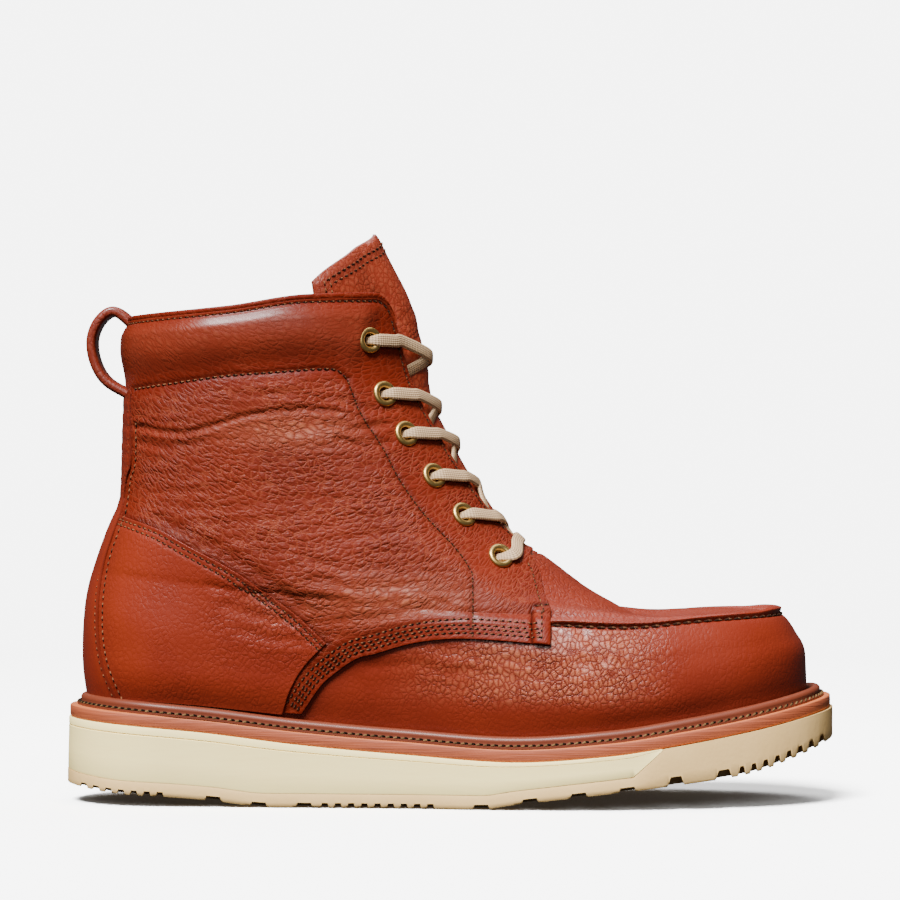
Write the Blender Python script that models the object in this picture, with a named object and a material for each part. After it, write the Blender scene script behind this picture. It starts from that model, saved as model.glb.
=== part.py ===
"""A right-foot leather work boot with a raised toe seam, on a notched wedge sole.

Sizes are millimetres: x forward from the back of the sole, y to the medial side, z up from a level a little
above the floor, which the tread's lowest run goes below. The finished boot stands on the floor at the scene's
origin, under the middle of its box, in metres.
"""

import math
from collections import namedtuple

import bmesh
import bpy
import numpy as np
from mathutils import Vector

MILLIMETRE = 0.001
CLEARANCE = 0.3

# Sole
SOLE_LENGTH = 308.0
OUTSOLE_THICKNESS = 5.3
RUNNER_THICKNESS = 5.0
WEDGE_NOSE = 225.5
WEDGE_NOSE_RUN = 12.0
SOLE_STATIONS = 22
NOTCH_REACH = 9.0
NOTCH_OVERRUN = 4.0
NOTCH_START = -2.0
OPEN_ACROSS_BELOW = 22.0

# Upper
WALL = 2.4
COLLAR_PAD = 2.6
QUARTER_LEATHER = 1.2
COUNTER_LEATHER = 1.4
STRIP_LEATHER = 1.7
RIDGE_HEIGHT = 2.0
RIDGE_ROW = 4.35
RIDGE_ROWS_WIDE = 0.42
RIDGE_ENDS_AT = (0.60, 0.67)
AROUND = 36
STRIP_CELLS = 5
HEEL_ROUNDING = 2.1
TOE_ROUNDING = 2.3
PANEL_SPAN = 90.0
PANEL_HALF_GAP = 0.4
PAD_STARTS = (11.4, 12.6)
PAD_THINS = (13.2, 14.0)
PAD_THINS_BY = 0.55

# Tongue, insole, loop, eyelets and lace
TONGUE_THICKNESS = 3.6
TONGUE_CROWN = 4.8
TONGUE_CROWN_ACROSS = (0.62, 0.98)
TONGUE_CROWN_UP = (8.7, 10.0)
TONGUE_DEPTH = WALL + 0.5
TONGUE_SPREAD = math.radians(62)
TONGUE_FIRST_ROW = 7.7
TONGUE_DROP = 0.96
TONGUE_DROP_CURVE = 2.2
TONGUE_GRID = 10
INSOLE_THICKNESS = 4.0
INSOLE_INSET = 3.4
INSOLE_STATIONS = 27
LOOP_WIDTH = 20.0
LOOP_THICKNESS = 4.2
LOOP_STATIONS = 19
EYELET_RADIUS = 4.9
EYELET_HOLE_RADIUS = 2.8
EYELET_ROUNDED = 0.8
EYELET_HEIGHT = 0.9
EYELET_LIFT = 0.85
EYELET_SIDES = 10
LACE_WIDTH = 5.2
LACE_THICKNESS = 1.6
LACE_LIFT = 0.9
LACE_LIFT_AT_EDGE = 2.9
LACE_STARTS_AT = 0.5
LACE_OVER_TONGUE = 2.5
LACE_FUSED = 0.3
LACE_LOWEST_ROW = 9.1
LACE_EDGE_GAP = 5.2
LACE_END_OVER_TONGUE = 1.8

# Plan of the sole: share of its length, half-widths to the outer (lateral) and inner (medial) side.
PlanRow = namedtuple("PlanRow", "share lateral medial")
SOLE_PLAN = (
    PlanRow(0.00, 36.0, 35.5),
    PlanRow(0.12, 36.0, 35.5),
    PlanRow(0.42, 42.0, 35.5),
    PlanRow(0.70, 55.0, 51.5),
    PlanRow(0.88, 50.0, 48.5),
    PlanRow(1.00, 50.0, 48.5),
)
SOLE_HEEL_ROUND = 0.13
SOLE_TOE_ROUND = 0.77

# Heights along the sole: its tread line and the top of the runner, where the upper stands.
HeightRow = namedtuple("HeightRow", "x z")
TREAD_LINE = (
    HeightRow(0, 6.0),
    HeightRow(23, 3.2),
    HeightRow(42, 2.2),
    HeightRow(60, 0.8),
    HeightRow(82, -1.6),
    HeightRow(166, -1.6),
    HeightRow(178, 0.2),
    HeightRow(203, 3.4),
    HeightRow(243, 8.2),
    HeightRow(270, 11.9),
    HeightRow(292, 18.6),
    HeightRow(308, 24.6),
)
SEAT_LINE = (
    HeightRow(0, 37.4),
    HeightRow(53, 32.9),
    HeightRow(95, 27.9),
    HeightRow(134, 24.6),
    HeightRow(178, 22.0),
    HeightRow(217, 24.7),
    HeightRow(243, 28.6),
    HeightRow(270, 33.4),
    HeightRow(308, 41.6),
)

# Side profile of each sole layer, bottom to top: share of the height, inset from the plan.
SideRow = namedtuple("SideRow", "share inset")
OUTSOLE_SIDE = (SideRow(0.0, 0.6), SideRow(0.25, 0.0), SideRow(1.0, 0.2))
WEDGE_SIDE = (
    SideRow(0.0, 0.3),
    SideRow(0.82, 0.9),
    SideRow(0.86, 0.4),
    SideRow(0.94, 0.4),
    SideRow(1.0, 0.9),
)
RUNNER_SIDE = (SideRow(0.0, 1.2), SideRow(0.5, 1.0), SideRow(1.0, 1.5))

# Section of the welt: distance out from the foot of the upper, height over the runner.
WeltCorner = namedtuple("WeltCorner", "out up")
WELT_SECTION = (
    WeltCorner(0.7, 0.3),
    WeltCorner(7.4, 0.3),
    WeltCorner(7.4, 1.1),
    WeltCorner(5.4, 1.4),
    WeltCorner(5.8, 2.7),
    WeltCorner(5.0, 4.0),
    WeltCorner(3.6, 4.6),
    WeltCorner(2.5, 4.4),
)

# Notches in the tread's edge: first place, pitch, count, width at the mouth and at the root, depth.
NotchRow = namedtuple("NotchRow", "first pitch count mouth root depth")
NOTCHES = (
    NotchRow(8.4, 5.18, 7, 3.0, 1.5, 2.1),
    NotchRow(60.6, 18.0, 3, 6.8, 3.8, 2.5),
    NotchRow(104.7, 5.2, 9, 3.0, 1.5, 2.1),
    NotchRow(166.2, 19.0, 6, 6.8, 3.8, 2.5),
    NotchRow(268.4, 4.77, 8, 3.0, 1.5, 2.1),
)

# Rings of the last, bottom to top. Each runs from the heel (share 0) to the toe or facing edge (share 1).
# seat is 1 where heights are measured from the sole's seat. Half-widths are at heel, waist, ball and toe.
# heel_round and toe_round are the shares where the ends begin to close, gap is half the throat's width.
Ring = namedtuple(
    "Ring",
    "seat x_back x_front z_back z_waist z_ball z_front "
    "lat_heel lat_waist lat_ball lat_toe med_heel med_waist med_ball med_toe heel_round toe_round gap",
)
RINGS = (
    Ring(1, 11.5, 296.8, 0.3, 0.3, 0.3, 0.3, 27.5, 33, 45.5, 42, 27, 26.5, 42.5, 40, 0.13, 0.77, 0),
    Ring(1, 10.4, 297.6, 5.6, 5.6, 5.6, 5.6, 29, 34.5, 47, 43, 28.5, 28, 44, 41, 0.13, 0.77, 0),
    Ring(0, 8.9, 297.2, 58, 46, 43, 56, 33, 37.5, 50, 45.5, 32, 32.5, 47, 44, 0.14, 0.77, 0),
    Ring(0, 9.6, 293.2, 74, 60, 57, 66, 34, 40, 49.5, 44.5, 33, 36, 46.5, 43, 0.15, 0.77, 0),
    Ring(0, 11.2, 287.4, 84, 73, 70.5, 73, 34, 41, 44.5, 40.5, 33, 37.5, 41.5, 39, 0.17, 0.77, 0),
    Ring(0, 12.6, 280.5, 89, 79, 74.5, 74.3, 34, 41, 40.5, 37, 33, 37.5, 38, 36, 0.18, 0.765, 0),
    Ring(0, 14.2, 240, 94, 84, 81, 71.8, 34, 41, 39.5, 32, 33, 37.5, 37, 31, 0.20, 0.75, 0),
    Ring(0, 15.9, 214, 99, 91, 90, 81, 34, 40.5, 39, 33, 33, 37.5, 37, 32, 0.22, 0.72, 0),
    Ring(0, 18.5, 191, 106, 101, 101, 97, 34, 39.5, 39, 35, 33.5, 37.5, 37.5, 34, 0.25, 0.68, 0),
    Ring(0, 20.4, 184, 111, 107, 106, 99.5, 34, 39, 38.5, 36, 34, 37.5, 37.5, 35, 0.27, 0.66, 10),
    Ring(0, 23.3, 170, 122, 121, 119, 113, 34.5, 38, 38, 37, 34.5, 37.5, 37.5, 36.5, 0.30, 0.60, 13.5),
    Ring(0, 24.0, 150, 144, 144.5, 144.5, 142, 36, 37.5, 37.5, 37.5, 36, 37, 37, 37, 0.36, 0.54, 14.5),
    Ring(0, 24.6, 137, 163.4, 168, 170, 167.5, 36.5, 37, 37, 37, 36.5, 37, 37, 37, 0.42, 0.50, 15.5),
    Ring(0, 24.2, 132.6, 178, 182, 185, 184, 38.5, 38.5, 38.5, 38.5, 38.5, 38.5, 38.5, 38.5, 0.42, 0.5, 16.5),
    Ring(0, 25.6, 128, 192.2, 196, 200.5, 201.5, 38, 38, 38, 38, 38, 38, 38, 38, 0.42, 0.50, 17.5),
    Ring(0, 32, 119, 217, 221, 225, 226, 37, 37, 37, 37, 37, 37, 37, 37, 0.42, 0.50, 17.5),
)
WIDTH_STATIONS = (0.0, 0.12, 0.42, 0.70, 0.88, 1.0)
HEIGHT_STATIONS = (0.0, 0.40, 0.70, 1.0)
TOP_ROW = 14
TONGUE_ROW = 15
THROAT_ROW = 8
UPPER_ROWS = (0, 1, 1.8, 3, 3.7, 4.1, 4.35, 4.62, 5.2, 6, 7, 8, 8.25, 9, 10, 11, 12, 12.7, 13.4, 14)

# Edges of the panels, seen from the side.
Place = namedtuple("Place", "x z")
VAMP_SEAM = (
    Place(184.0, 98.5),
    Place(188.5, 91.0),
    Place(191.0, 81.5),
    Place(193.5, 75.5),
    Place(193.5, 62.0),
    Place(161.0, 65.0),
    Place(147.5, 64.5),
    Place(136.0, 62.5),
    Place(116.0, 56.5),
    Place(104.0, 47.0),
    Place(96.5, 36.0),
)
COUNTER_FRONT = (Place(88.5, 36.0), Place(91.0, 44.5), Place(97.0, 54.5), Place(105.5, 63.0))
COUNTER_TOP = (
    Place(94.5, 73.5),
    Place(81.5, 83.5),
    Place(68.5, 92.0),
    Place(51.5, 101.0),
    Place(39.0, 107.5),
)
STRIP_EDGE = (
    Place(24.0, 112.0),
    Place(18.0, 92.5),
    Place(16.0, 74.0),
    Place(17.6, 56.0),
    Place(24.0, 38.0),
)
STRIP_TOP = (Place(28.5, 161.5), Place(28.5, 135.5), Place(26.4, 127.5))
EYELETS = (
    Place(121.3, 182.4),
    Place(127.5, 161.0),
    Place(136.0, 145.2),
    Place(147.0, 128.5),
    Place(158.8, 112.9),
    Place(173.5, 96.5),
)
LOOP_PATH = (
    Place(21.5, 163.7),
    Place(15.0, 168.6),
    Place(11.3, 175.4),
    Place(10.6, 184.0),
    Place(14.6, 191.6),
    Place(19.8, 195.0),
    Place(25.2, 195.0),
)

# Colour, roughness and metallic value of each finish.
Finish = namedtuple("Finish", "color roughness metallic")
FINISHES = {
    "leather": Finish((0.27, 0.045, 0.014), 0.42, 0.0),
    "welt_leather": Finish((0.11, 0.026, 0.012), 0.35, 0.0),
    "runner_leather": Finish((0.33, 0.12, 0.07), 0.6, 0.0),
    "wedge_foam": Finish((0.80, 0.72, 0.53), 0.75, 0.0),
    "tread_rubber": Finish((0.66, 0.57, 0.40), 0.7, 0.0),
    "board": Finish((0.45, 0.30, 0.18), 0.8, 0.0),
    "brass": Finish((0.33, 0.21, 0.07), 0.35, 1.0),
    "lace": Finish((0.42, 0.34, 0.25), 0.8, 0.0),
}


def clear_scene():
    """Remove every object that the file opened with."""
    for thing in list(bpy.data.objects):
        bpy.data.objects.remove(thing, do_unlink=True)


def make_materials():
    """One Principled material for each finish."""
    made = {}
    for name, finish in FINISHES.items():
        material = bpy.data.materials.new(name)
        material.use_nodes = True
        shader = material.node_tree.nodes["Principled BSDF"]
        shader.inputs["Base Color"].default_value = (*finish.color, 1.0)
        shader.inputs["Roughness"].default_value = finish.roughness
        shader.inputs["Metallic"].default_value = finish.metallic
        made[name] = material
    return made


def smooth(at, knots, values):
    """Values of a monotone cubic curve through values (one row for each knot) at the places in at."""
    knots = np.asarray(knots, float)
    values = np.asarray(values, float)
    if values.ndim == 1:
        return smooth(at, knots, values[:, None])[..., 0]
    step = np.diff(knots)[:, None]
    slope = np.diff(values, axis=0) / step
    before, after = slope[:-1], slope[1:]
    same_way = before * after > 0
    total = np.where(same_way, before + after, 1.0)
    inner = np.where(same_way, 2 * before * after / total, 0.0)
    tangent = np.concatenate([slope[:1], inner, slope[-1:]])
    at = np.clip(np.asarray(at, float), knots[0], knots[-1])
    cell = np.clip(np.searchsorted(knots, at, side="right") - 1, 0, len(knots) - 2)
    width = step[cell]
    part = (at - knots[cell])[..., None] / width
    rise = part * part * (3 - 2 * part)
    return (
        values[cell] * (1 - rise)
        + values[cell + 1] * rise
        + width * part * (1 - part) * (tangent[cell] * (1 - part) - tangent[cell + 1] * part)
    )


def along(rows, x):
    """Height of a line of HeightRows at x."""
    return smooth(x, [row.x for row in rows], [row.z for row in rows])


def ease(value, low, high):
    """0 below low, 1 above high, a smooth step between."""
    part = np.clip((value - low) / (high - low), 0.0, 1.0)
    return part * part * (3 - 2 * part)


def closing(share, heel_round, toe_round, reach):
    """Factor that rounds a plan off at both ends. reach below 1 stops the front short, at the throat."""
    back = np.clip((heel_round - share) / heel_round, 0.0, 1.0)
    front = np.clip(reach * (share - toe_round) / (1 - toe_round), 0.0, 1.0)
    back = (1 - back**HEEL_ROUNDING) ** (1 / HEEL_ROUNDING)
    front = (1 - front**TOE_ROUNDING) ** (1 / TOE_ROUNDING)
    return back * front


def sole_plan(share, inset):
    """x, lateral and medial half-width of the sole at a share of its length."""
    halves = [(row.lateral, row.medial) for row in SOLE_PLAN]
    widths = smooth(share, [row.share for row in SOLE_PLAN], halves)
    shut = closing(share, SOLE_HEEL_ROUND, SOLE_TOE_ROUND, 1.0)[..., None]
    halves = np.maximum(widths - inset, 0) * shut
    return inset + share * (SOLE_LENGTH - 2 * inset), halves[..., 0], halves[..., 1]


def middle_of_sole():
    """Point on the floor under the middle of the sole's box, which is put at the origin."""
    share = np.linspace(0, 1, 2001)
    _, lateral, medial = sole_plan(share, 0.0)
    return SOLE_LENGTH / 2, (medial.max() - lateral.max()) / 2, min(row.z for row in TREAD_LINE)


MIDDLE = middle_of_sole()


def placed(points):
    """Points in millimetres, taken to the finished frame in metres."""
    points = np.array(points, float).reshape(-1, 3)
    return (points - MIDDLE) * MILLIMETRE


def add_object(name, points, faces, material, smooth_angle=40):
    """A mesh object from points in millimetres, its doubles merged and its faces turned outward."""
    mesh = bpy.data.meshes.new(name)
    mesh.from_pydata(placed(points).tolist(), [], [list(face) for face in faces])
    work = bmesh.new()
    work.from_mesh(mesh)
    bmesh.ops.remove_doubles(work, verts=work.verts, dist=1e-6)
    bmesh.ops.recalc_face_normals(work, faces=work.faces)
    work.to_mesh(mesh)
    work.free()
    mesh.shade_smooth()
    mesh.set_sharp_from_angle(angle=math.radians(smooth_angle))
    if material:
        mesh.materials.append(material)
    thing = bpy.data.objects.new(name, mesh)
    bpy.context.scene.collection.objects.link(thing)
    return thing


def as_cutter(thing):
    """Mark an object as a cutting form that isn't part of the boot."""
    thing.hide_render = True
    thing.display_type = "WIRE"
    return thing


def combine(thing, cutter, operation):
    """Add an exact Boolean of a cutting form to an object."""
    modifier = thing.modifiers.new(cutter.name, "BOOLEAN")
    modifier.operation = operation
    modifier.object = cutter
    modifier.solver = "EXACT"
    return thing


def loft(sections):
    """Points and faces of a closed body through sections of equally many points, with flat ends."""
    sections = np.asarray(sections, float)
    count, sides = sections.shape[:2]
    index = np.arange(count * sides).reshape(count, sides)
    turned = np.roll(index, -1, axis=1)
    skin = np.stack([index[:-1], turned[:-1], turned[1:], index[1:]], axis=-1).reshape(-1, 4)
    faces = [tuple(face) for face in skin.tolist()]
    faces.append(tuple(index[0].tolist()))
    faces.append(tuple(index[-1].tolist()))
    return sections.reshape(-1, 3), faces


def sole_layer(shares, low, high, side_rows):
    """Sections of a sole layer between two lines of heights, its sides stepped as side_rows say."""
    lateral_edge, medial_edge = [], []
    for row in side_rows:
        x, lateral, medial = sole_plan(shares, row.inset)
        z = low(x) + row.share * (high(x) - low(x))
        lateral_edge.append(np.stack([x, -lateral, z], axis=-1))
        medial_edge.append(np.stack([x, medial, z], axis=-1))
    return np.stack(lateral_edge + medial_edge[::-1], axis=1)


def spaced_shares(count, first, last):
    """Shares of a length, closer together at its round ends."""
    turn = np.linspace(math.acos(1 - 2 * first), math.acos(1 - 2 * last), count)
    return (1 - np.cos(turn)) / 2


def tread_height(x):
    """Height of the tread at x."""
    return along(TREAD_LINE, x)


def seat_height(x):
    """Height of the runner's top at x."""
    return along(SEAT_LINE, x)


def runner_floor(x):
    """Height of the runner's underside at x."""
    return seat_height(x) - RUNNER_THICKNESS


def outsole_roof(x):
    """Height of the outsole's top: a thin layer that rises to the runner in front of the wedge."""
    thin = tread_height(x) + OUTSOLE_THICKNESS
    full = runner_floor(x) - CLEARANCE
    return thin + np.clip((x - WEDGE_NOSE) / WEDGE_NOSE_RUN, 0, 1) * (full - thin)


def wedge_floor(x):
    """Height of the wedge's underside, clear of the outsole."""
    return outsole_roof(x + CLEARANCE) + 1.5 * CLEARANCE


def with_stations(shares, places):
    """Shares of the sole's length with extra ones at the given places."""
    return np.unique(np.concatenate([shares, np.asarray(places) / SOLE_LENGTH]))


def make_sole(materials):
    """Outsole with its notched edge, wedge and runner."""
    shares = with_stations(spaced_shares(SOLE_STATIONS, 0, 1), (WEDGE_NOSE, WEDGE_NOSE + WEDGE_NOSE_RUN))
    body = loft(sole_layer(shares, tread_height, outsole_roof, OUTSOLE_SIDE))
    outsole = add_object("outsole", *body, materials["tread_rubber"])
    combine(outsole, make_notch_cutter(), "DIFFERENCE")
    shares = shares[shares <= (WEDGE_NOSE + 0.5 * WEDGE_NOSE_RUN) / SOLE_LENGTH]
    shares = np.append(shares, (WEDGE_NOSE + 0.9 * WEDGE_NOSE_RUN) / SOLE_LENGTH)
    wedge = sole_layer(shares, wedge_floor, lambda x: runner_floor(x) - CLEARANCE, WEDGE_SIDE)
    add_object("midsole", *loft(wedge), materials["wedge_foam"])
    shares = spaced_shares(SOLE_STATIONS, 0, 1)
    runner = sole_layer(shares, runner_floor, seat_height, RUNNER_SIDE)
    add_object("runner", *loft(runner), materials["runner_leather"])


def make_notch_cutter():
    """One cutting form with a tapered slot for each notch, on both edges of the tread."""
    points, faces = [], []
    for row in NOTCHES:
        for number in range(row.count):
            x = row.first + number * row.pitch
            _, lateral, medial = sole_plan(np.float64(x / SOLE_LENGTH), 0.0)
            reach = min(NOTCH_REACH, 0.35 * (lateral + medial))
            spans = [(-lateral - NOTCH_OVERRUN, -lateral + reach), (medial - reach, medial + NOTCH_OVERRUN)]
            if min(lateral, medial) < OPEN_ACROSS_BELOW:
                spans = [(-lateral - NOTCH_OVERRUN, medial + NOTCH_OVERRUN)]
            for start, end in spans:
                slot, slot_faces = notch_slot(x, start, end, row)
                faces += [[corner + len(points) for corner in face] for face in slot_faces]
                points += slot
    return as_cutter(add_object("notch_cutter", points, faces, None))


def notch_slot(x, start, end, row):
    """A slot across the tread's edge, wider at its mouth, following the slope of the tread."""
    section = []
    mouth = ((-row.mouth, NOTCH_START), (row.mouth, NOTCH_START))
    for offset, height in (*mouth, (row.root, row.depth), (-row.root, row.depth)):
        place = x + offset / 2
        section.append((place, tread_height(np.float64(place)) + height))
    ends = [[(px, y, pz) for px, pz in section] for y in (start, end)]
    points, faces = loft(ends)
    return points.tolist(), faces


def ring_columns(rows):
    """The columns of RINGS, read between rows along smooth curves."""
    values = smooth(rows, np.arange(len(RINGS)), np.array(RINGS, float))
    ring = Ring(*np.moveaxis(values, -1, 0))
    squares = smooth(rows, np.arange(len(RINGS)), [row.gap**2 for row in RINGS])
    return ring._replace(gap=np.sqrt(squares))


def front_reach(ring, width):
    """How much of the front's rounding is used before the throat cuts it off."""
    opened = np.clip(ring.gap / width, 0, 1)
    return (1 - opened**TOE_ROUNDING) ** (1 / TOE_ROUNDING)


def upper_surface(rows, turns):
    """Outer face of the upper, one line of points for each row.

    turns run from 0 at the front, round the lateral side to 1 at the heel, and on to 2 at the front again.
    """
    ring = ring_columns(np.asarray(rows, float))
    turns = np.asarray(turns, float)
    share = (1 + np.cos(math.pi * turns)) / 2
    lateral = (ring.lat_heel, ring.lat_heel, ring.lat_waist, ring.lat_ball, ring.lat_toe, ring.lat_toe)
    medial = (ring.med_heel, ring.med_heel, ring.med_waist, ring.med_ball, ring.med_toe, ring.med_toe)
    lateral_width = smooth(share, WIDTH_STATIONS, np.stack(lateral)).T
    medial_width = smooth(share, WIDTH_STATIONS, np.stack(medial)).T
    on_lateral = (turns <= 1)[None, :]
    width = np.where(on_lateral, lateral_width, medial_width)
    lateral_reach = front_reach(ring, ring.lat_toe)[:, None]
    reach = np.where(on_lateral, lateral_reach, front_reach(ring, ring.med_toe)[:, None])
    shut = closing(share[None, :], ring.heel_round[:, None], ring.toe_round[:, None], reach)
    x = ring.x_back[:, None] + share[None, :] * (ring.x_front - ring.x_back)[:, None]
    heights = np.stack([ring.z_back, ring.z_waist, ring.z_ball, ring.z_front])
    z = smooth(share, HEIGHT_STATIONS, heights).T + ring.seat[:, None] * seat_height(x)
    y = np.where(on_lateral, -1.0, 1.0) * width * shut
    return np.stack([x, y, z], axis=-1)


def outward(rows, turns, step=0.02):
    """Unit directions that point out of the upper's surface."""
    rows, turns = np.asarray(rows, float), np.asarray(turns, float)
    shut = (rows <= THROAT_ROW)[:, None, None]
    later = upper_surface(rows, np.clip(turns + step, 0, 2))
    earlier = upper_surface(rows, np.clip(turns - step, 0, 2))
    round_later = upper_surface(rows, np.mod(turns + step, 2))
    round_earlier = upper_surface(rows, np.mod(turns - step, 2))
    around = np.where(shut, round_later - round_earlier, later - earlier)
    over = upper_surface(np.clip(rows + step, 0, TONGUE_ROW), turns)
    under = upper_surface(np.clip(rows - step, 0, TONGUE_ROW), turns)
    normal = np.cross(over - under, around)
    return normal / np.maximum(np.linalg.norm(normal, axis=-1, keepdims=True), 1e-9)


def ridge(rows, turns):
    """Height of the raised toe seam: a rounded ridge along one ring, fading out behind the vamp's end."""
    share = (1 + np.cos(math.pi * np.asarray(turns))) / 2
    across = np.clip(1 - np.abs(np.asarray(rows) - RIDGE_ROW) / RIDGE_ROWS_WIDE, 0, 1)
    return RIDGE_HEIGHT * np.outer(ease(across, 0, 1), ease(share, *RIDGE_ENDS_AT))


def offset_surface(rows, turns, distance):
    """The upper's face with its toe seam, moved outward by a distance."""
    move = ridge(rows, turns) + distance
    return upper_surface(rows, turns) + outward(rows, turns) * move[..., None]


def thick_sheet(outer, inner, joined_rows=0):
    """Closed body between two grids of points. The first joined_rows rows run on round from end to start."""
    count, across = outer.shape[:2]
    points = np.concatenate([outer.reshape(-1, 3), inner.reshape(-1, 3)])
    index = np.arange(count * across).reshape(count, across)
    corner, right, far, up = index[:-1, :-1], index[:-1, 1:], index[1:, 1:], index[1:, :-1]
    cells = np.stack([corner, right, far, corner, far, up], axis=-1).reshape(-1, 3)
    faces = cells.tolist() + (cells[:, ::-1] + count * across).tolist()
    below = count * across
    edges = [index[0, :], index[-1, ::-1], index[joined_rows:, -1], index[joined_rows:, 0][::-1]]
    for edge in edges:
        for one, two in zip(edge[:-1].tolist(), edge[1:].tolist()):
            faces.append((two, one, one + below, two + below))
    return points, faces


def wall_thickness(rows):
    """Thickness of the upper's wall at each row: leather and lining, padded at the collar."""
    rows = np.asarray(rows, float)
    return WALL + COLLAR_PAD * ease(rows, *PAD_STARTS) * (1 - PAD_THINS_BY * ease(rows, *PAD_THINS))


def make_upper(materials):
    """The hollow upper: one wall, open at collar, throat and bottom."""
    turns = np.linspace(0, 2, AROUND + 1)
    outer = offset_surface(UPPER_ROWS, turns, 0.0)
    depth = wall_thickness(UPPER_ROWS)[:, None, None]
    inner = upper_surface(UPPER_ROWS, turns) - outward(UPPER_ROWS, turns) * depth
    shut = int(np.searchsorted(UPPER_ROWS, THROAT_ROW))
    for grid in (outer, inner):
        grid[: shut + 1, -1] = grid[: shut + 1, 0]
    return add_object("upper", *thick_sheet(outer, inner, shut), materials["leather"])


def side_prism(name, places, start, end):
    """Cutting form: an outline seen from the side, carried across the boot from y start to y end."""
    ends = [[(place.x, y, place.z) for place in places] for y in (start, end)]
    return as_cutter(add_object(name, *loft(ends), None))


def make_overlay(name, places, leather, medial, rows, turns, materials):
    """A panel on the upper, cut from the layer just outside its face by an outline seen from the side.

    medial is None for a panel that runs round both sides.
    """
    outer = offset_surface(rows, turns, CLEARANCE + leather)
    inner = offset_surface(rows, turns, CLEARANCE)
    panel = add_object(name, *thick_sheet(outer, inner), materials["leather"])
    start = PANEL_HALF_GAP if medial is True else -PANEL_SPAN
    end = -PANEL_HALF_GAP if medial is False else PANEL_SPAN
    return combine(panel, side_prism(name + "_outline", places, start, end), "INTERSECT")


def moved(places, x=0.0, z=0.0):
    """The same places shifted, for the clearance between two panels."""
    return [Place(place.x + x, place.z + z) for place in places]


def make_panels(materials):
    """Quarters, counters and the strip over the heel seam."""
    rows = UPPER_ROWS
    rear = (Place(20.0, 30.0), Place(80.0, 22.0))
    above = (Place(5.0, 162.0), Place(5.0, 215.0), Place(200.0, 215.0), Place(200.0, 98.5))
    quarter = [*moved(STRIP_TOP[::-1], 0.4), *above, *VAMP_SEAM, Place(96.5, 20.0), Place(88.8, 20.0)]
    quarter = [Place(26.8, 113.0), *quarter, *moved(COUNTER_FRONT, 0.3), *moved(COUNTER_TOP, 0.2, 0.4)]
    counter = [*STRIP_EDGE, *rear, Place(88.5, 20.0), *COUNTER_FRONT, *COUNTER_TOP]
    behind = (Place(20.0, 20.0), Place(0.0, 20.0), Place(0.0, 161.5))
    strip = [*moved(STRIP_TOP, -0.4), *moved(STRIP_EDGE, -0.4), *behind]
    for side, medial in (("lateral", False), ("medial", True)):
        half = np.linspace(1, 2, AROUND // 2 + 1) if medial else np.linspace(0, 1, AROUND // 2 + 1)
        make_overlay("quarter_" + side, quarter, QUARTER_LEATHER, medial, rows[1:], half, materials)
        low = [row for row in rows if 0.5 < row < 9.5]
        make_overlay("counter_" + side, counter, COUNTER_LEATHER, medial, low, half, materials)
    heel = np.linspace(0, 2, AROUND + 1)[AROUND // 2 - STRIP_CELLS : AROUND // 2 + STRIP_CELLS + 1]
    low = [row for row in rows if 0.5 < row < 12.7]
    make_overlay("back_strip", strip, STRIP_LEATHER, None, low, heel, materials)


def make_tongue(materials):
    """Padded tongue that carries the front of the rings on across the throat, behind the facings."""
    rise = np.linspace(0, 1, TONGUE_GRID)
    spread = np.linspace(-1, 1, TONGUE_GRID + 1)
    top = TONGUE_ROW - TONGUE_DROP * np.abs(spread) ** TONGUE_DROP_CURVE
    rows = TONGUE_FIRST_ROW + rise[:, None] * (top - TONGUE_FIRST_ROW)[None, :]
    layers = []
    for depth in (TONGUE_DEPTH, TONGUE_DEPTH + TONGUE_THICKNESS):
        layers.append(tongue_face(rows, spread, depth))
    return add_object("tongue", *thick_sheet(layers[0], layers[1]), materials["leather"])


def tongue_face(rows, spread, depth):
    """Face of the tongue at a depth behind the upper's outer face, crowned between the facings."""
    ring = ring_columns(rows)
    angle = spread[None, :] * TONGUE_SPREAD
    width = np.where(spread[None, :] < 0, ring.lat_toe, ring.med_toe)
    centre = ring.x_back + ring.toe_round * (ring.x_front - ring.x_back)
    length = (ring.x_front - centre) / front_reach(ring, width)
    pad = (wall_thickness(rows) - WALL + 0.2) * ease(np.abs(spread), 0.2, 0.4)[None, :]
    slope = ease(rows, 8.6, 11.5)
    middle = ease(1 - np.abs(spread), *TONGUE_CROWN_ACROSS)[None, :]
    crown = TONGUE_CROWN * middle * ease(rows, *TONGUE_CROWN_UP)
    inward = depth + pad - crown
    x = centre + (length - inward * (0.62 + 0.38 * slope)) * np.cos(angle)
    y = (width - inward) * np.sin(angle)
    share = np.clip((x - ring.x_back) / (ring.x_front - ring.x_back), 0, 1)
    lift = ring.z_ball + (ring.z_front - ring.z_ball) * ease(share, 0.6, 1.0)
    z = lift - inward * 0.78 * (1 - slope)
    return np.stack([x, y, z], axis=-1)


def make_insole(materials):
    """Board on the runner, inside the foot of the upper."""
    turns = np.linspace(0, 1, INSOLE_STATIONS)
    lateral = upper_surface((0.0,), turns)[0]
    medial = upper_surface((0.0,), 2 - turns)[0]
    length = lateral[0, 0] - lateral[-1, 0]
    shrink = 1 - 2 * INSOLE_INSET / length
    middle = (lateral[0, 0] + lateral[-1, 0]) / 2
    sections = []
    for one, two in zip(lateral, medial):
        x = middle + (one[0] - middle) * shrink
        low = seat_height(x) + CLEARANCE
        high = low + INSOLE_THICKNESS
        left = min(one[1] + INSOLE_INSET, 0.0)
        right = max(two[1] - INSOLE_INSET, 0.0)
        sections.append([(x, left, low), (x, right, low), (x, right, high), (x, left, high)])
    return add_object("insole", *loft(sections), materials["board"])


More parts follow.
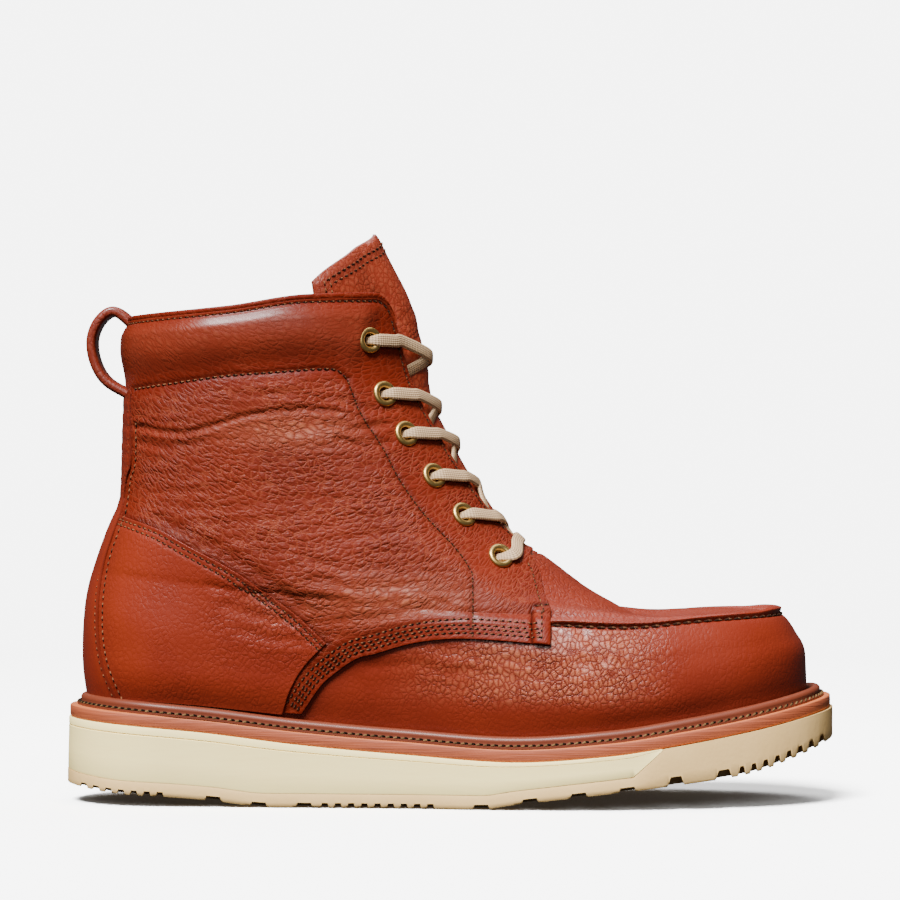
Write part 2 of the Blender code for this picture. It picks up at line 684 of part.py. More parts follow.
def make_welt(materials):
    """Rolled bead with a flat flange, carried round the foot of the upper on the runner."""
    turns = np.linspace(0, 2, AROUND + 1)[:-1]
    foot = upper_surface((0.0,), turns)[0]
    ahead = upper_surface((0.0,), np.mod(turns + 0.01, 2))[0]
    behind = upper_surface((0.0,), np.mod(turns - 0.01, 2))[0]
    run = ahead - behind
    side = np.stack([-run[:, 1], run[:, 0], np.zeros(len(run))], axis=-1)
    side /= np.linalg.norm(side, axis=-1, keepdims=True)
    sections = []
    for corner in WELT_SECTION:
        edge = foot + side * corner.out
        edge[:, 2] = seat_height(edge[:, 0]) + corner.up
        sections.append(edge)
    grid = np.stack(sections, axis=1)
    count, corners = grid.shape[:2]
    index = np.arange(count * corners).reshape(count, corners)
    later = np.roll(index, -1, axis=0)
    cells = np.stack([index, later, np.roll(later, -1, axis=1), np.roll(index, -1, axis=1)], axis=-1)
    faces = [tuple(face) for face in cells.reshape(-1, 4).tolist()]
    return add_object("storm_welt", grid.reshape(-1, 3), faces, materials["welt_leather"])


def make_pull_loop(materials):
    """Leather band bent into a loop behind the collar."""
    knots = np.arange(len(LOOP_PATH))
    fine = np.linspace(0, len(LOOP_PATH) - 1, LOOP_STATIONS)
    path = smooth_path(fine, knots, [(place.x, place.z) for place in LOOP_PATH])
    run = np.gradient(path, axis=0)
    run /= np.linalg.norm(run, axis=1, keepdims=True)
    side = np.stack([-run[:, 1], run[:, 0]], axis=-1) * LOOP_THICKNESS / 2
    half = LOOP_WIDTH / 2
    sections = []
    for centre, step in zip(path, side):
        over, under = centre + step, centre - step
        corners = ((over, -half), (over, half), (under, half), (under, -half))
        sections.append([(place[0], y, place[1]) for place, y in corners])
    return add_object("pull_loop", *loft(sections), materials["leather"])


def smooth_path(at, knots, places):
    """Points of a rounded curve through places, one for each knot."""
    places = np.asarray(places, float)
    tangent = np.gradient(places, axis=0)
    cell = np.clip(np.searchsorted(knots, at, side="right") - 1, 0, len(knots) - 2)
    part = (at - knots[cell])[:, None]
    rise = part * part * (3 - 2 * part)
    bend = part * (1 - part) * (tangent[cell] * (1 - part) - tangent[cell + 1] * part)
    return places[cell] * (1 - rise) + places[cell + 1] * rise + bend


def on_upper(place, medial):
    """Row and turn of the upper's face nearest to a place seen from the side."""
    rows = np.linspace(7.5, TOP_ROW, 261)
    turns = np.linspace(1.3, 2, 141) if medial else np.linspace(0, 0.7, 141)
    grid = upper_surface(rows, turns)
    miss = (grid[..., 0] - place.x) ** 2 + (grid[..., 2] - place.z) ** 2
    row, turn = np.unravel_index(np.argmin(miss), miss.shape)
    return rows[row], turns[turn]


def above_upper(row, turn, height):
    """Point at a height over the upper's face, and the direction out of it."""
    direction = outward([row], [turn])[0, 0]
    return upper_surface([row], [turn])[0, 0] + direction * height, direction


def make_eyelets(materials):
    """Six eyelets on each quarter."""
    for side, medial in (("lateral", False), ("medial", True)):
        for number, place in enumerate(EYELETS, start=1):
            point, direction = above_upper(*on_upper(place, medial), EYELET_LIFT + QUARTER_LEATHER)
            make_eyelet(f"eyelet_{side}_{number}", point, direction, materials)


def make_eyelet(name, point, direction, materials):
    """A rounded metal ring that lies on the quarter."""
    frame = Vector(direction).to_track_quat("Z", "Y").to_matrix()
    profile = (
        (EYELET_HOLE_RADIUS, 0.0),
        (EYELET_RADIUS, 0.0),
        (EYELET_RADIUS - EYELET_ROUNDED, EYELET_HEIGHT),
        (EYELET_HOLE_RADIUS, 0.6 * EYELET_HEIGHT),
    )
    points, faces = [], []
    for number in range(EYELET_SIDES):
        angle = math.tau * number / EYELET_SIDES
        for radius, height in profile:
            local = frame @ Vector((radius * math.cos(angle), radius * math.sin(angle), height))
            points.append(Vector(point) + local)
        for corner in range(len(profile)):
            ring = (number * len(profile), (number + 1) % EYELET_SIDES * len(profile))
            after = (corner + 1) % len(profile)
            faces.append((ring[0] + corner, ring[1] + corner, ring[1] + after, ring[0] + after))
    return add_object(name, [tuple(p) for p in points], faces, materials["brass"])


def throat_point(row, height):
    """Point over the middle of the throat, where the rings would close, and the direction out of it."""
    places = []
    for near in (row - 0.1, row, row + 0.1):
        ring = ring_columns(np.array([near]))
        centre = ring.x_back + ring.toe_round * (ring.x_front - ring.x_back)
        nose = centre + (ring.x_front - centre) / front_reach(ring, ring.lat_toe)
        places.append(np.array([nose[0], 0.0, ring.z_front[0]]))
    run = places[2] - places[0]
    direction = np.array([run[2], 0.0, -run[0]]) / math.hypot(run[0], run[2])
    return places[1] + direction * height, direction


def lace_strand(name, stops, materials):
    """A flat lace through stops, each a point and the direction that the lace's face looks."""
    path = np.array([point for point, _ in stops])
    face = np.array([direction for _, direction in stops])
    side = np.cross(np.gradient(path, axis=0), face)
    side *= LACE_WIDTH / 2 / np.linalg.norm(side, axis=1, keepdims=True)
    face *= LACE_THICKNESS / 2
    corners = (path + side + face, path - side + face, path - side - face, path + side - face)
    return add_object(name, *loft(np.stack(corners, axis=1)), materials["lace"])


def over_facing(row, turn, medial, part):
    """Stop of a lace on the quarter, at a part of the way from the facing's edge to the eyelet."""
    turn = 2 - (2 - turn) * part if medial else turn * part
    lift = LACE_LIFT_AT_EDGE + (LACE_LIFT - LACE_LIFT_AT_EDGE) * part / LACE_STARTS_AT
    return above_upper(row, turn, lift + QUARTER_LEATHER + LACE_THICKNESS / 2)


def over_tongue(row, spread, height):
    """Stop of a lace at a height over the tongue, and the direction out of it."""
    place = (np.array([[row]]), np.array([spread]))
    point = tongue_face(*place, TONGUE_DEPTH)[0, 0]
    direction = tongue_face(*place, TONGUE_DEPTH - 1.0)[0, 0] - point
    direction /= np.linalg.norm(direction)
    return point + direction * height, direction


def beside_facing(row, medial):
    """Stop of a lace on the tongue, just short of the far facing's edge."""
    ring = ring_columns(np.array([row]))
    angle = math.asin((ring.gap[0] - LACE_EDGE_GAP) / ring.med_toe[0])
    spread = angle / TONGUE_SPREAD * (1 if medial else -1)
    return over_tongue(row, spread, LACE_END_OVER_TONGUE + LACE_THICKNESS / 2)


def make_laces(materials):
    """Five crossings and the bar at the bottom of the throat."""
    seats = {medial: [on_upper(place, medial) for place in EYELETS] for medial in (False, True)}
    for number in range(len(EYELETS) - 1):
        strands = []
        for medial, level in ((False, 1), (True, 0)):
            row, turn = seats[medial][number]
            low_row = max(seats[not medial][number + 1][0], LACE_LOWEST_ROW)
            height = LACE_OVER_TONGUE + LACE_THICKNESS / 2
            raised = height + level * (LACE_THICKNESS - LACE_FUSED)
            way = -1 if medial else 1
            stops = [over_facing(row, turn, medial, part) for part in (LACE_STARTS_AT, 0.05)]
            for part, lift in ((-0.22, height), (-0.1, raised), (0.1, raised), (0.2, height)):
                stops.append(over_tongue(row + (low_row - row) * (0.5 + part), part * way, lift))
            stops.append(beside_facing(low_row, not medial))
            strands.append(stops)
        crossing = lace_strand(f"lace_cross_{number + 1}", strands[0], materials)
        under = lace_strand(f"lace_cross_{number + 1}_under", strands[1], materials)
        combine(crossing, as_cutter(under), "UNION")
    stops = [over_facing(*seats[False][-1], False, part) for part in (LACE_STARTS_AT, 0.1)]
    stops.append(throat_point(seats[False][-1][0], LACE_OVER_TONGUE + LACE_THICKNESS))
    stops += [over_facing(*seats[True][-1], True, part) for part in (0.1, LACE_STARTS_AT)]
    lace_strand("lace_bar", stops, materials)


def main():
    """Build the boot, sole first."""
    clear_scene()
    materials = make_materials()
    make_sole(materials)
    make_welt(materials)
    make_insole(materials)
    make_upper(materials)
    make_tongue(materials)
    make_panels(materials)
    make_pull_loop(materials)
    make_eyelets(materials)
    make_laces(materials)


main()
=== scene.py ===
"""Looks of a right-foot leather work boot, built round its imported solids.

Sizes are millimetres until a mesh is made: x forward from the back of the sole, y to the medial side and z up
from a level a little above the floor. A finished piece is in metres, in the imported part's frame.
"""

import logging
import math
from collections.abc import Callable
from dataclasses import dataclass
from enum import Enum
from typing import NamedTuple

import bmesh
import bpy
import numpy as np
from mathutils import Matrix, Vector

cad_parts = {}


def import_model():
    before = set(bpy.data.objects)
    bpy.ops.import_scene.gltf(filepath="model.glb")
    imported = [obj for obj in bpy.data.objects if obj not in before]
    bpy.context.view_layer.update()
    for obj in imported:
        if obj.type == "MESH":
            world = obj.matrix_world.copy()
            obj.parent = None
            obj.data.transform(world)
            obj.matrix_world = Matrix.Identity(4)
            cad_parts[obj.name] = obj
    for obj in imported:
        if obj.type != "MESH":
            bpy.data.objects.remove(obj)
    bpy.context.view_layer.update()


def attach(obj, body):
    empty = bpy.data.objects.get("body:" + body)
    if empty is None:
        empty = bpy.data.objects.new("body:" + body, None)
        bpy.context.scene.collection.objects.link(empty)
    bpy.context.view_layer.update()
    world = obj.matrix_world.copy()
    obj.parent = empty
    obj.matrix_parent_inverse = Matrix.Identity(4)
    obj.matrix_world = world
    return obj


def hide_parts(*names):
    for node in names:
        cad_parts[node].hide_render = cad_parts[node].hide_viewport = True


Array = np.ndarray
Colour = tuple[float, float, float]
LOG = logging.getLogger("work_boot")
MILLIMETRE = 0.001
SOLE_LENGTH = 308.0
THROAT_ROW = 8
TOP_ROW = 14
TONGUE_ROW = 15
HEEL_ROUNDING = 2.1
TOE_ROUNDING = 2.3
WALL = 2.4
COLLAR_PAD = 2.6
ROW_RISE = 17.0


class PlanRow(NamedTuple):
    """Half-widths of the sole at a share of its length."""

    share: float
    lateral: float
    medial: float


class SideRow(NamedTuple):
    """A step of a sole layer's side: share of its height, inset from the plan."""

    share: float
    inset: float


class Notches(NamedTuple):
    """A run of notches in the tread's edge."""

    first: float
    pitch: float
    count: int
    mouth: float
    root: float
    depth: float


class Ring(NamedTuple):
    """One ring of the last. seat is 1 where heights are measured from the sole's seat."""

    seat: Array
    x_back: Array
    x_front: Array
    z_back: Array
    z_waist: Array
    z_ball: Array
    z_front: Array
    lat_heel: Array
    lat_waist: Array
    lat_ball: Array
    lat_toe: Array
    med_heel: Array
    med_waist: Array
    med_ball: Array
    med_toe: Array
    heel_round: Array
    toe_round: Array
    gap: Array


class QuarterMarks(NamedTuple):
    """Where spots lie on a quarter, as distances in millimetres or as weights of 0 to 1."""

    over_line: Array
    to_top: Array
    padded: Array
    shaft: Array
    low_band: Array
    soft: Array


class Crease(NamedTuple):
    """A soft trough in the leather, or a ridge where depth is below 0, along places seen from the side."""

    width: float
    depth: float
    path: tuple[tuple[float, float], ...]


SOLE_PLAN = (
    PlanRow(0.00, 36.0, 35.5),
    PlanRow(0.12, 36.0, 35.5),
    PlanRow(0.42, 42.0, 35.5),
    PlanRow(0.70, 55.0, 51.5),
    PlanRow(0.88, 50.0, 48.5),
    PlanRow(1.00, 50.0, 48.5),
)
SOLE_ROUNDS = (0.13, 0.77)
TREAD_LINE = (
    (0, 6.0),
    (23, 3.2),
    (42, 2.2),
    (60, 0.8),
    (82, -1.6),
    (166, -1.6),
    (178, 0.2),
    (203, 3.4),
    (243, 8.2),
    (270, 11.9),
    (292, 18.6),
    (308, 24.6),
)
SEAT_LINE = (
    (0, 37.4),
    (53, 32.9),
    (95, 27.9),
    (134, 24.6),
    (178, 22.0),
    (217, 24.7),
    (243, 28.6),
    (270, 33.4),
    (308, 41.6),
)
NOTCHES = (
    Notches(8.4, 5.18, 7, 3.2, 1.3, 3.5),
    Notches(60.6, 18.0, 3, 6.8, 3.8, 3.4),
    Notches(104.7, 5.2, 9, 3.2, 1.3, 3.5),
    Notches(166.2, 19.0, 6, 6.8, 3.8, 3.4),
    Notches(268.4, 4.77, 8, 3.2, 1.3, 3.5),
)
RINGS = (
    (1, 11.5, 296.8, 0.3, 0.3, 0.3, 0.3, 27.5, 33, 45.5, 42, 27, 26.5, 42.5, 40, 0.13, 0.77, 0),
    (1, 10.4, 297.6, 5.6, 5.6, 5.6, 5.6, 29, 34.5, 47, 43, 28.5, 28, 44, 41, 0.13, 0.77, 0),
    (0, 8.9, 297.2, 58, 46, 43, 56, 33, 37.5, 50, 45.5, 32, 32.5, 47, 44, 0.14, 0.77, 0),
    (0, 9.6, 293.2, 74, 60, 57, 66, 34, 40, 49.5, 44.5, 33, 36, 46.5, 43, 0.15, 0.77, 0),
    (0, 11.2, 287.4, 84, 73, 70.5, 73, 34, 41, 44.5, 40.5, 33, 37.5, 41.5, 39, 0.17, 0.77, 0),
    (0, 12.6, 280.5, 89, 79, 74.5, 74.3, 34, 41, 40.5, 37, 33, 37.5, 38, 36, 0.18, 0.765, 0),
    (0, 14.2, 240, 94, 84, 81, 71.8, 34, 41, 39.5, 32, 33, 37.5, 37, 31, 0.20, 0.75, 0),
    (0, 15.9, 214, 99, 91, 90, 81, 34, 40.5, 39, 33, 33, 37.5, 37, 32, 0.22, 0.72, 0),
    (0, 18.5, 191, 106, 101, 101, 97, 34, 39.5, 39, 35, 33.5, 37.5, 37.5, 34, 0.25, 0.68, 0),
    (0, 20.4, 184, 111, 107, 106, 99.5, 34, 39, 38.5, 36, 34, 37.5, 37.5, 35, 0.27, 0.66, 10),
    (0, 23.3, 170, 122, 121, 119, 113, 34.5, 38, 38, 37, 34.5, 37.5, 37.5, 36.5, 0.30, 0.60, 13.5),
    (0, 24.0, 150, 144, 144.5, 144.5, 142, 36, 37.5, 37.5, 37.5, 36, 37, 37, 37, 0.36, 0.54, 14.5),
    (0, 24.6, 137, 163.4, 168, 170, 167.5, 36.5, 37, 37, 37, 36.5, 37, 37, 37, 0.42, 0.50, 15.5),
    (0, 24.2, 132.6, 178, 182, 185, 184, 38.5, 38.5, 38.5, 38.5, 38.5, 38.5, 38.5, 38.5, 0.42, 0.5, 16.5),
    (0, 25.6, 128, 192.2, 196, 200.5, 201.5, 38, 38, 38, 38, 38, 38, 38, 38, 0.42, 0.50, 17.5),
    (0, 32, 119, 217, 221, 225, 226, 37, 37, 37, 37, 37, 37, 37, 37, 0.42, 0.50, 17.5),
)
WIDTH_STATIONS = np.array([0.0, 0.12, 0.42, 0.70, 0.88, 1.0])
HEIGHT_STATIONS = np.array([0.0, 0.40, 0.70, 1.0])
VAMP_FRONT = ((184.4, 98.5), (188.5, 91.0), (191.0, 81.5), (193.5, 75.5), (193.5, 62.4))
VAMP_SEAM = (
    (193.5, 62.4),
    (180.0, 63.7),
    (161.0, 65.0),
    (147.5, 64.5),
    (136.0, 62.5),
    (125.0, 59.2),
    (116.0, 56.5),
    (104.0, 47.0),
    (95.3, 35.0),
)
COUNTER_FRONT = ((105.5, 63.0), (97.0, 54.5), (91.0, 44.5), (88.0, 35.2))
COUNTER_TOP = (
    (24.0, 112.5),
    (39.0, 107.5),
    (51.5, 101.0),
    (68.5, 92.0),
    (81.5, 83.5),
    (94.5, 73.5),
    (105.5, 63.0),
)
STRIP_EDGE = (
    (28.5, 161.5),
    (28.5, 135.5),
    (26.4, 127.5),
    (24.0, 112.0),
    (18.0, 92.5),
    (16.0, 74.0),
    (17.6, 56.0),
    (24.0, 39.0),
)
COLLAR_LINE = (
    (29.0, 163.4),
    (45.7, 165.7),
    (64.6, 168.3),
    (85.9, 169.9),
    (100.9, 171.0),
    (108.7, 170.7),
    (113.1, 167.1),
)
EYESTAY_LINE = (
    (113.1, 167.1),
    (115.1, 161.2),
    (119.0, 152.2),
    (126.9, 140.0),
    (133.5, 127.4),
    (142.6, 114.4),
    (154.8, 101.0),
    (160.7, 93.1),
    (162.7, 87.2),
    (163.0, 65.4),
)
EYELETS = ((121.3, 182.4), (127.5, 161.0), (136.0, 145.2), (147.0, 128.5), (158.8, 112.9), (173.5, 96.5))
LOOP_PATH = (
    (26.0, 160.6),
    (16.0, 166.6),
    (11.2, 174.4),
    (10.0, 183.6),
    (13.3, 191.4),
    (19.4, 194.6),
    (28.0, 188.0),
)


def smooth(at: Array, knots: Array, values: Array) -> Array:
    """Monotone cubic curve through values, one row for each knot.

    Args:
        at: Places to read, of any shape.
        knots: Places of the rows, rising.
        values: One row of numbers, or one number, for each knot.

    Returns:
        The rows read at each place.
    """
    at, knots, values = np.asarray(at, float), np.asarray(knots, float), np.asarray(values, float)
    if values.ndim == 1:
        return smooth(at, knots, values[:, None])[..., 0]
    step = np.diff(knots)[:, None]
    slope = np.diff(values, axis=0) / step
    tangent = np.concatenate([slope[:1], middle_slopes(slope[:-1], slope[1:]), slope[-1:]])
    at = np.clip(at, knots[0], knots[-1])
    cell = np.clip(np.searchsorted(knots, at, side="right") - 1, 0, len(knots) - 2)
    width = step[cell]
    part = (at - knots[cell])[..., None] / width
    rise = part * part * (3 - 2 * part)
    bend = width * part * (1 - part) * (tangent[cell] * (1 - part) - tangent[cell + 1] * part)
    return values[cell] * (1 - rise) + values[cell + 1] * rise + bend


def smooth_each(at: Array, knots: Array, values: Array) -> Array:
    """The same curve where each place has values of its own.

    Args:
        at: Places to read, of any shape.
        knots: Places of the values, rising.
        values: For each place, one number for each knot.

    Returns:
        One number for each place.
    """
    step = np.diff(knots)
    slope = np.diff(values, axis=-1) / step
    inner = middle_slopes(slope[..., :-1], slope[..., 1:])
    tangent = np.concatenate([slope[..., :1], inner, slope[..., -1:]], axis=-1)
    at = np.clip(at, knots[0], knots[-1])
    cell = np.clip(np.searchsorted(knots, at, side="right") - 1, 0, len(knots) - 2)
    low, high = cell[..., None], cell[..., None] + 1
    value = [np.take_along_axis(values, pick, -1)[..., 0] for pick in (low, high)]
    lean = [np.take_along_axis(tangent, pick, -1)[..., 0] for pick in (low, high)]
    width = step[cell]
    part = (at - knots[cell]) / width
    rise = part * part * (3 - 2 * part)
    bend = width * part * (1 - part) * (lean[0] * (1 - part) - lean[1] * part)
    return value[0] * (1 - rise) + value[1] * rise + bend


def middle_slopes(before: Array, after: Array) -> Array:
    """Harmonic mean of two neighbouring slopes, 0 where they differ in sign."""
    same_way = before * after > 0
    return np.where(same_way, 2 * before * after / np.where(same_way, before + after, 1.0), 0.0)


def ease(value: Array, low: float, high: float) -> Array:
    """0 below low, 1 above high, a smooth step between."""
    part = np.clip((np.asarray(value, float) - low) / (high - low), 0.0, 1.0)
    return part * part * (3 - 2 * part)


def flowing(places: Array, count: int) -> Array:
    """Evenly spaced points on a rounded curve through places.

    Args:
        places: Points in any number of dimensions.
        count: Number of points wanted.

    Returns:
        The points, by true length along a cubic Hermite curve.
    """
    places = np.asarray(places, float)
    tangent = np.gradient(places, axis=0)
    at = np.linspace(0, len(places) - 1, 40 * len(places))
    cell = np.clip(at.astype(int), 0, len(places) - 2)
    part = (at - cell)[:, None]
    rise = part * part * (3 - 2 * part)
    bend = part * (1 - part) * (tangent[cell] * (1 - part) - tangent[cell + 1] * part)
    line = places[cell] * (1 - rise) + places[cell + 1] * rise + bend
    return spaced(line, count)


def spaced(line: Array, count: int) -> Array:
    """Evenly spaced points along a line of points."""
    length = np.concatenate([[0], np.cumsum(np.linalg.norm(np.diff(line, axis=0), axis=1))])
    at = np.linspace(0, length[-1], count)
    return np.stack([np.interp(at, length, column) for column in line.T], axis=-1)


def beside(line: Array, distance: float) -> Array:
    """A plane line moved to its left by a distance."""
    run = np.gradient(line, axis=0)
    run /= np.linalg.norm(run, axis=1, keepdims=True)
    return line + distance * np.stack([-run[:, 1], run[:, 0]], axis=-1)


def unit(vectors: Array) -> Array:
    """Vectors of length 1."""
    return vectors / np.maximum(np.linalg.norm(vectors, axis=-1, keepdims=True), 1e-9)


def distance_to(x: Array, z: Array, path: Array) -> Array:
    """Distance from places seen from the side to the nearest point of a path of straight runs."""
    path = np.asarray(path, float)
    nearest = np.full(x.shape, 1e9)
    for start, end in zip(path[:-1], path[1:]):
        run = end - start
        part = ((x - start[0]) * run[0] + (z - start[1]) * run[1]) / (run @ run)
        part = np.clip(part, 0, 1)
        nearest = np.minimum(nearest, np.hypot(x - start[0] - part * run[0], z - start[1] - part * run[1]))
    return nearest


def relief(x: Array, z: Array, creases: tuple[Crease, ...]) -> Array:
    """Sum of creases: each a bell-shaped trough with low shoulders on both sides."""
    total = np.zeros(x.shape)
    for crease in creases:
        away = distance_to(x, z, crease.path) / crease.width
        total -= crease.depth * (np.exp(-away * away) - 0.35 * np.exp(-((away - 1.9) ** 2)))
    return total


def ripples(x: Array, z: Array, length: float, angle: float, seed: int) -> Array:
    """Irregular wrinkles of about -1 to 1: sines across an angle, bent and broken up by slower sines."""
    draw = np.random.default_rng(seed)
    along = x * math.cos(angle) + z * math.sin(angle)
    across = z * math.cos(angle) - x * math.sin(angle)
    total = np.zeros(x.shape)
    for _ in range(5):
        pace = length * draw.uniform(0.7, 1.5)
        phase, bend, other = draw.uniform(0, math.tau, 3)
        drift = 0.9 * np.sin(along / (3.2 * pace) + bend)
        drift += 0.5 * np.sin(along / (1.3 * pace) + other + across / pace)
        total += np.sin(math.tau * across / pace + 2.1 * drift + phase)
    return total / 3.2


def sole_plan(share: Array, inset: float) -> tuple[Array, Array, Array]:
    """x, lateral and medial half-width of the sole at shares of its length."""
    table = np.array(SOLE_PLAN)
    widths = smooth(share, table[:, 0], table[:, 1:])
    shut = closing(share, *SOLE_ROUNDS, 1.0)[..., None]
    halves = np.maximum(widths - inset, 0) * shut
    return inset + share * (SOLE_LENGTH - 2 * inset), halves[..., 0], halves[..., 1]


def closing(share: Array, heel_round: Array, toe_round: Array, reach: Array) -> Array:
    """Factor that rounds a plan off at both ends. reach below 1 stops the front short, at the throat."""
    back = np.clip((heel_round - share) / heel_round, 0.0, 1.0)
    front = np.clip(reach * (share - toe_round) / (1 - toe_round), 0.0, 1.0)
    return (1 - back**HEEL_ROUNDING) ** (1 / HEEL_ROUNDING) * (1 - front**TOE_ROUNDING) ** (1 / TOE_ROUNDING)


def tread_height(x: Array) -> Array:
    """Height of the tread at x."""
    return smooth(x, *np.array(TREAD_LINE).T)


def seat_height(x: Array) -> Array:
    """Height of the runner's top at x."""
    return smooth(x, *np.array(SEAT_LINE).T)


def middle_of_sole() -> Array:
    """Point on the floor under the middle of the sole's box, which is the frame's origin."""
    _, lateral, medial = sole_plan(np.linspace(0, 1, 2001), 0.0)
    lowest = min(height for _, height in TREAD_LINE)
    return np.array([SOLE_LENGTH / 2, (medial.max() - lateral.max()) / 2, lowest])


class Side(Enum):
    """The two sides of the boot, by the sign of y."""

    LATERAL = -1
    MEDIAL = 1

    def turn(self, part: Array) -> Array:
        """Turn on the last for a part of the way from the front (0) to the heel (1)."""
        return part if self is Side.LATERAL else 2 - np.asarray(part)

    @property
    def word(self) -> str:
        """The side's name in lower case."""
        return self.name.lower()


class Last:
    """The shape that the upper is made on: rings from the feather line (row 0) to the tongue's tip (row 15).

    A turn runs from 0 at the front, round the lateral side to 1 at the heel, and on to 2 at the front again.
    """

    corner: float = 8.5

    def __init__(self) -> None:
        """Measure the collar's top ring from the facing's edge backwards."""
        self.edge_parts = np.linspace(0, 0.5, 101)
        ring = self.points(np.full(101, float(TOP_ROW)), self.edge_parts)
        self.edge_run = np.concatenate([[0], np.cumsum(np.linalg.norm(np.diff(ring, axis=0), axis=1))])

    def columns(self, rows: Array) -> Ring:
        """The ring table read between its rows along smooth curves."""
        knots = np.arange(len(RINGS))
        table = np.array(RINGS, float)
        ring = Ring(*np.moveaxis(smooth(rows, knots, table), -1, 0))
        return ring._replace(gap=np.sqrt(smooth(rows, knots, table[:, -1] ** 2)))

    def reach(self, gap: Array, width: Array) -> Array:
        """How much of the front's rounding is used before the throat cuts it off."""
        return (1 - np.clip(gap / width, 0, 1) ** TOE_ROUNDING) ** (1 / TOE_ROUNDING)

    def at_stations(self, heel: Array, waist: Array, ball: Array, toe: Array) -> Array:
        """Half-widths at the width stations: the heel's and the toe's hold to the ends."""
        return np.stack([heel, heel, waist, ball, toe, toe], -1)

    def points(self, rows: Array, turns: Array) -> Array:
        """Points of the outer face: each ring's plan is a width curve rounded off at heel and toe.

        Args:
            rows: Ring numbers, whole or between.
            turns: Turns round the rings, of the same shape.

        Returns:
            Points in millimetres.
        """
        rows, turns = np.broadcast_arrays(np.asarray(rows, float), np.asarray(turns, float))
        ring = self.columns(rows)
        share = (1 + np.cos(math.pi * turns)) / 2
        lateral = turns <= 1
        outer = self.at_stations(ring.lat_heel, ring.lat_waist, ring.lat_ball, ring.lat_toe)
        inner = self.at_stations(ring.med_heel, ring.med_waist, ring.med_ball, ring.med_toe)
        width = smooth_each(share, WIDTH_STATIONS, np.where(lateral[..., None], outer, inner))
        reach = self.reach(ring.gap, np.where(lateral, ring.lat_toe, ring.med_toe))
        shut = closing(share, ring.heel_round, ring.toe_round, reach)
        x = ring.x_back + share * (ring.x_front - ring.x_back)
        heights = np.stack([ring.z_back, ring.z_waist, ring.z_ball, ring.z_front], -1)
        z = smooth_each(share, HEIGHT_STATIONS, heights) + ring.seat * seat_height(x)
        return np.stack([x, np.where(lateral, -1.0, 1.0) * width * shut, z], axis=-1)

    def normals(self, rows: Array, turns: Array, step: float = 0.02) -> Array:
        """Unit directions out of the face, from differences along rows and turns."""
        rows, turns = np.broadcast_arrays(np.asarray(rows, float), np.asarray(turns, float))
        shut = rows <= THROAT_ROW
        later = np.where(shut, np.mod(turns + step, 2), np.clip(turns + step, 0, 2))
        earlier = np.where(shut, np.mod(turns - step, 2), np.clip(turns - step, 0, 2))
        around = self.points(rows, later) - self.points(rows, earlier)
        over = self.points(np.clip(rows + step, 0, TONGUE_ROW), turns)
        under = self.points(np.clip(rows - step, 0, TONGUE_ROW), turns)
        return unit(np.cross(over - under, around))

    def lifted(self, rows: Array, turns: Array, height: Array) -> Array:
        """Points at heights over the outer face."""
        return self.points(rows, turns) + self.normals(rows, turns) * np.asarray(height)[..., None]

    def find(self, places: Array, side: Side) -> Array:
        """Rows and parts of the way round for places seen from the side.

        Args:
            places: Columns x and z.
            side: Side of the boot.

        Returns:
            Columns row and part, from the nearest of a grid of points, bettered by Newton steps.
        """
        places = np.asarray(places, float)
        rows, parts = np.meshgrid(np.linspace(0, TOP_ROW, 141), np.linspace(0, 1, 121), indexing="ij")
        grid = self.points(rows, side.turn(parts))[..., (0, 2)].reshape(-1, 2)
        best = ((places[:, None] - grid[None]) ** 2).sum(-1).argmin(1)
        spots = np.stack([rows.ravel()[best], parts.ravel()[best]], -1)
        for _ in range(5):
            here = self.seen(spots, side)
            by_row = (self.seen(spots + (0.01, 0), side) - here) / 0.01
            by_part = (self.seen(spots + (0, 0.002), side) - here) / 0.002
            area = by_row[:, 0] * by_part[:, 1] - by_row[:, 1] * by_part[:, 0]
            area = np.where(np.abs(area) < 1.0, np.inf, area)
            miss = places - here
            row = (miss[:, 0] * by_part[:, 1] - miss[:, 1] * by_part[:, 0]) / area
            part = (by_row[:, 0] * miss[:, 1] - by_row[:, 1] * miss[:, 0]) / area
            spots = spots + np.stack([np.clip(row, -0.1, 0.1), np.clip(part, -0.01, 0.01)], -1)
            spots = np.clip(spots, (0, 0), (TOP_ROW, 1))
        return spots

    def seen(self, spots: Array, side: Side) -> Array:
        """x and z of spots on a side."""
        return self.points(spots[:, 0], side.turn(spots[:, 1]))[:, (0, 2)]

    def even(self, spots: Array, side: Side, shares: Array) -> Array:
        """Spots at shares of the true length of a line of spots."""
        line = self.points(spots[:, 0], side.turn(spots[:, 1]))
        length = np.concatenate([[0], np.cumsum(np.linalg.norm(np.diff(line, axis=0), axis=1))])
        return np.stack([np.interp(shares * length[-1], length, column) for column in spots.T], axis=-1)

    def seam(self, places: Array, side: Side, count: int = 80) -> Array:
        """Spots along a rounded line through places seen from the side."""
        return self.find(flowing(places, count), side)

    def edge_part(self, rows: Array, side: Side, inside: float) -> Array:
        """Part of the way round that lies a true distance inside the front edge of the facing."""
        parts = np.linspace(0, 0.4, 81)
        line = self.points(np.asarray(rows)[:, None], side.turn(parts)[None])
        run = np.cumsum(np.linalg.norm(np.diff(line, axis=1), axis=-1), axis=1)
        before = np.clip((run < inside).sum(1), 1, len(parts) - 2)
        low, high = (np.take_along_axis(run, pick[:, None], 1)[:, 0] for pick in (before - 1, before))
        return parts[before] + (parts[1] - parts[0]) * np.clip((inside - low) / (high - low), 0, 1)

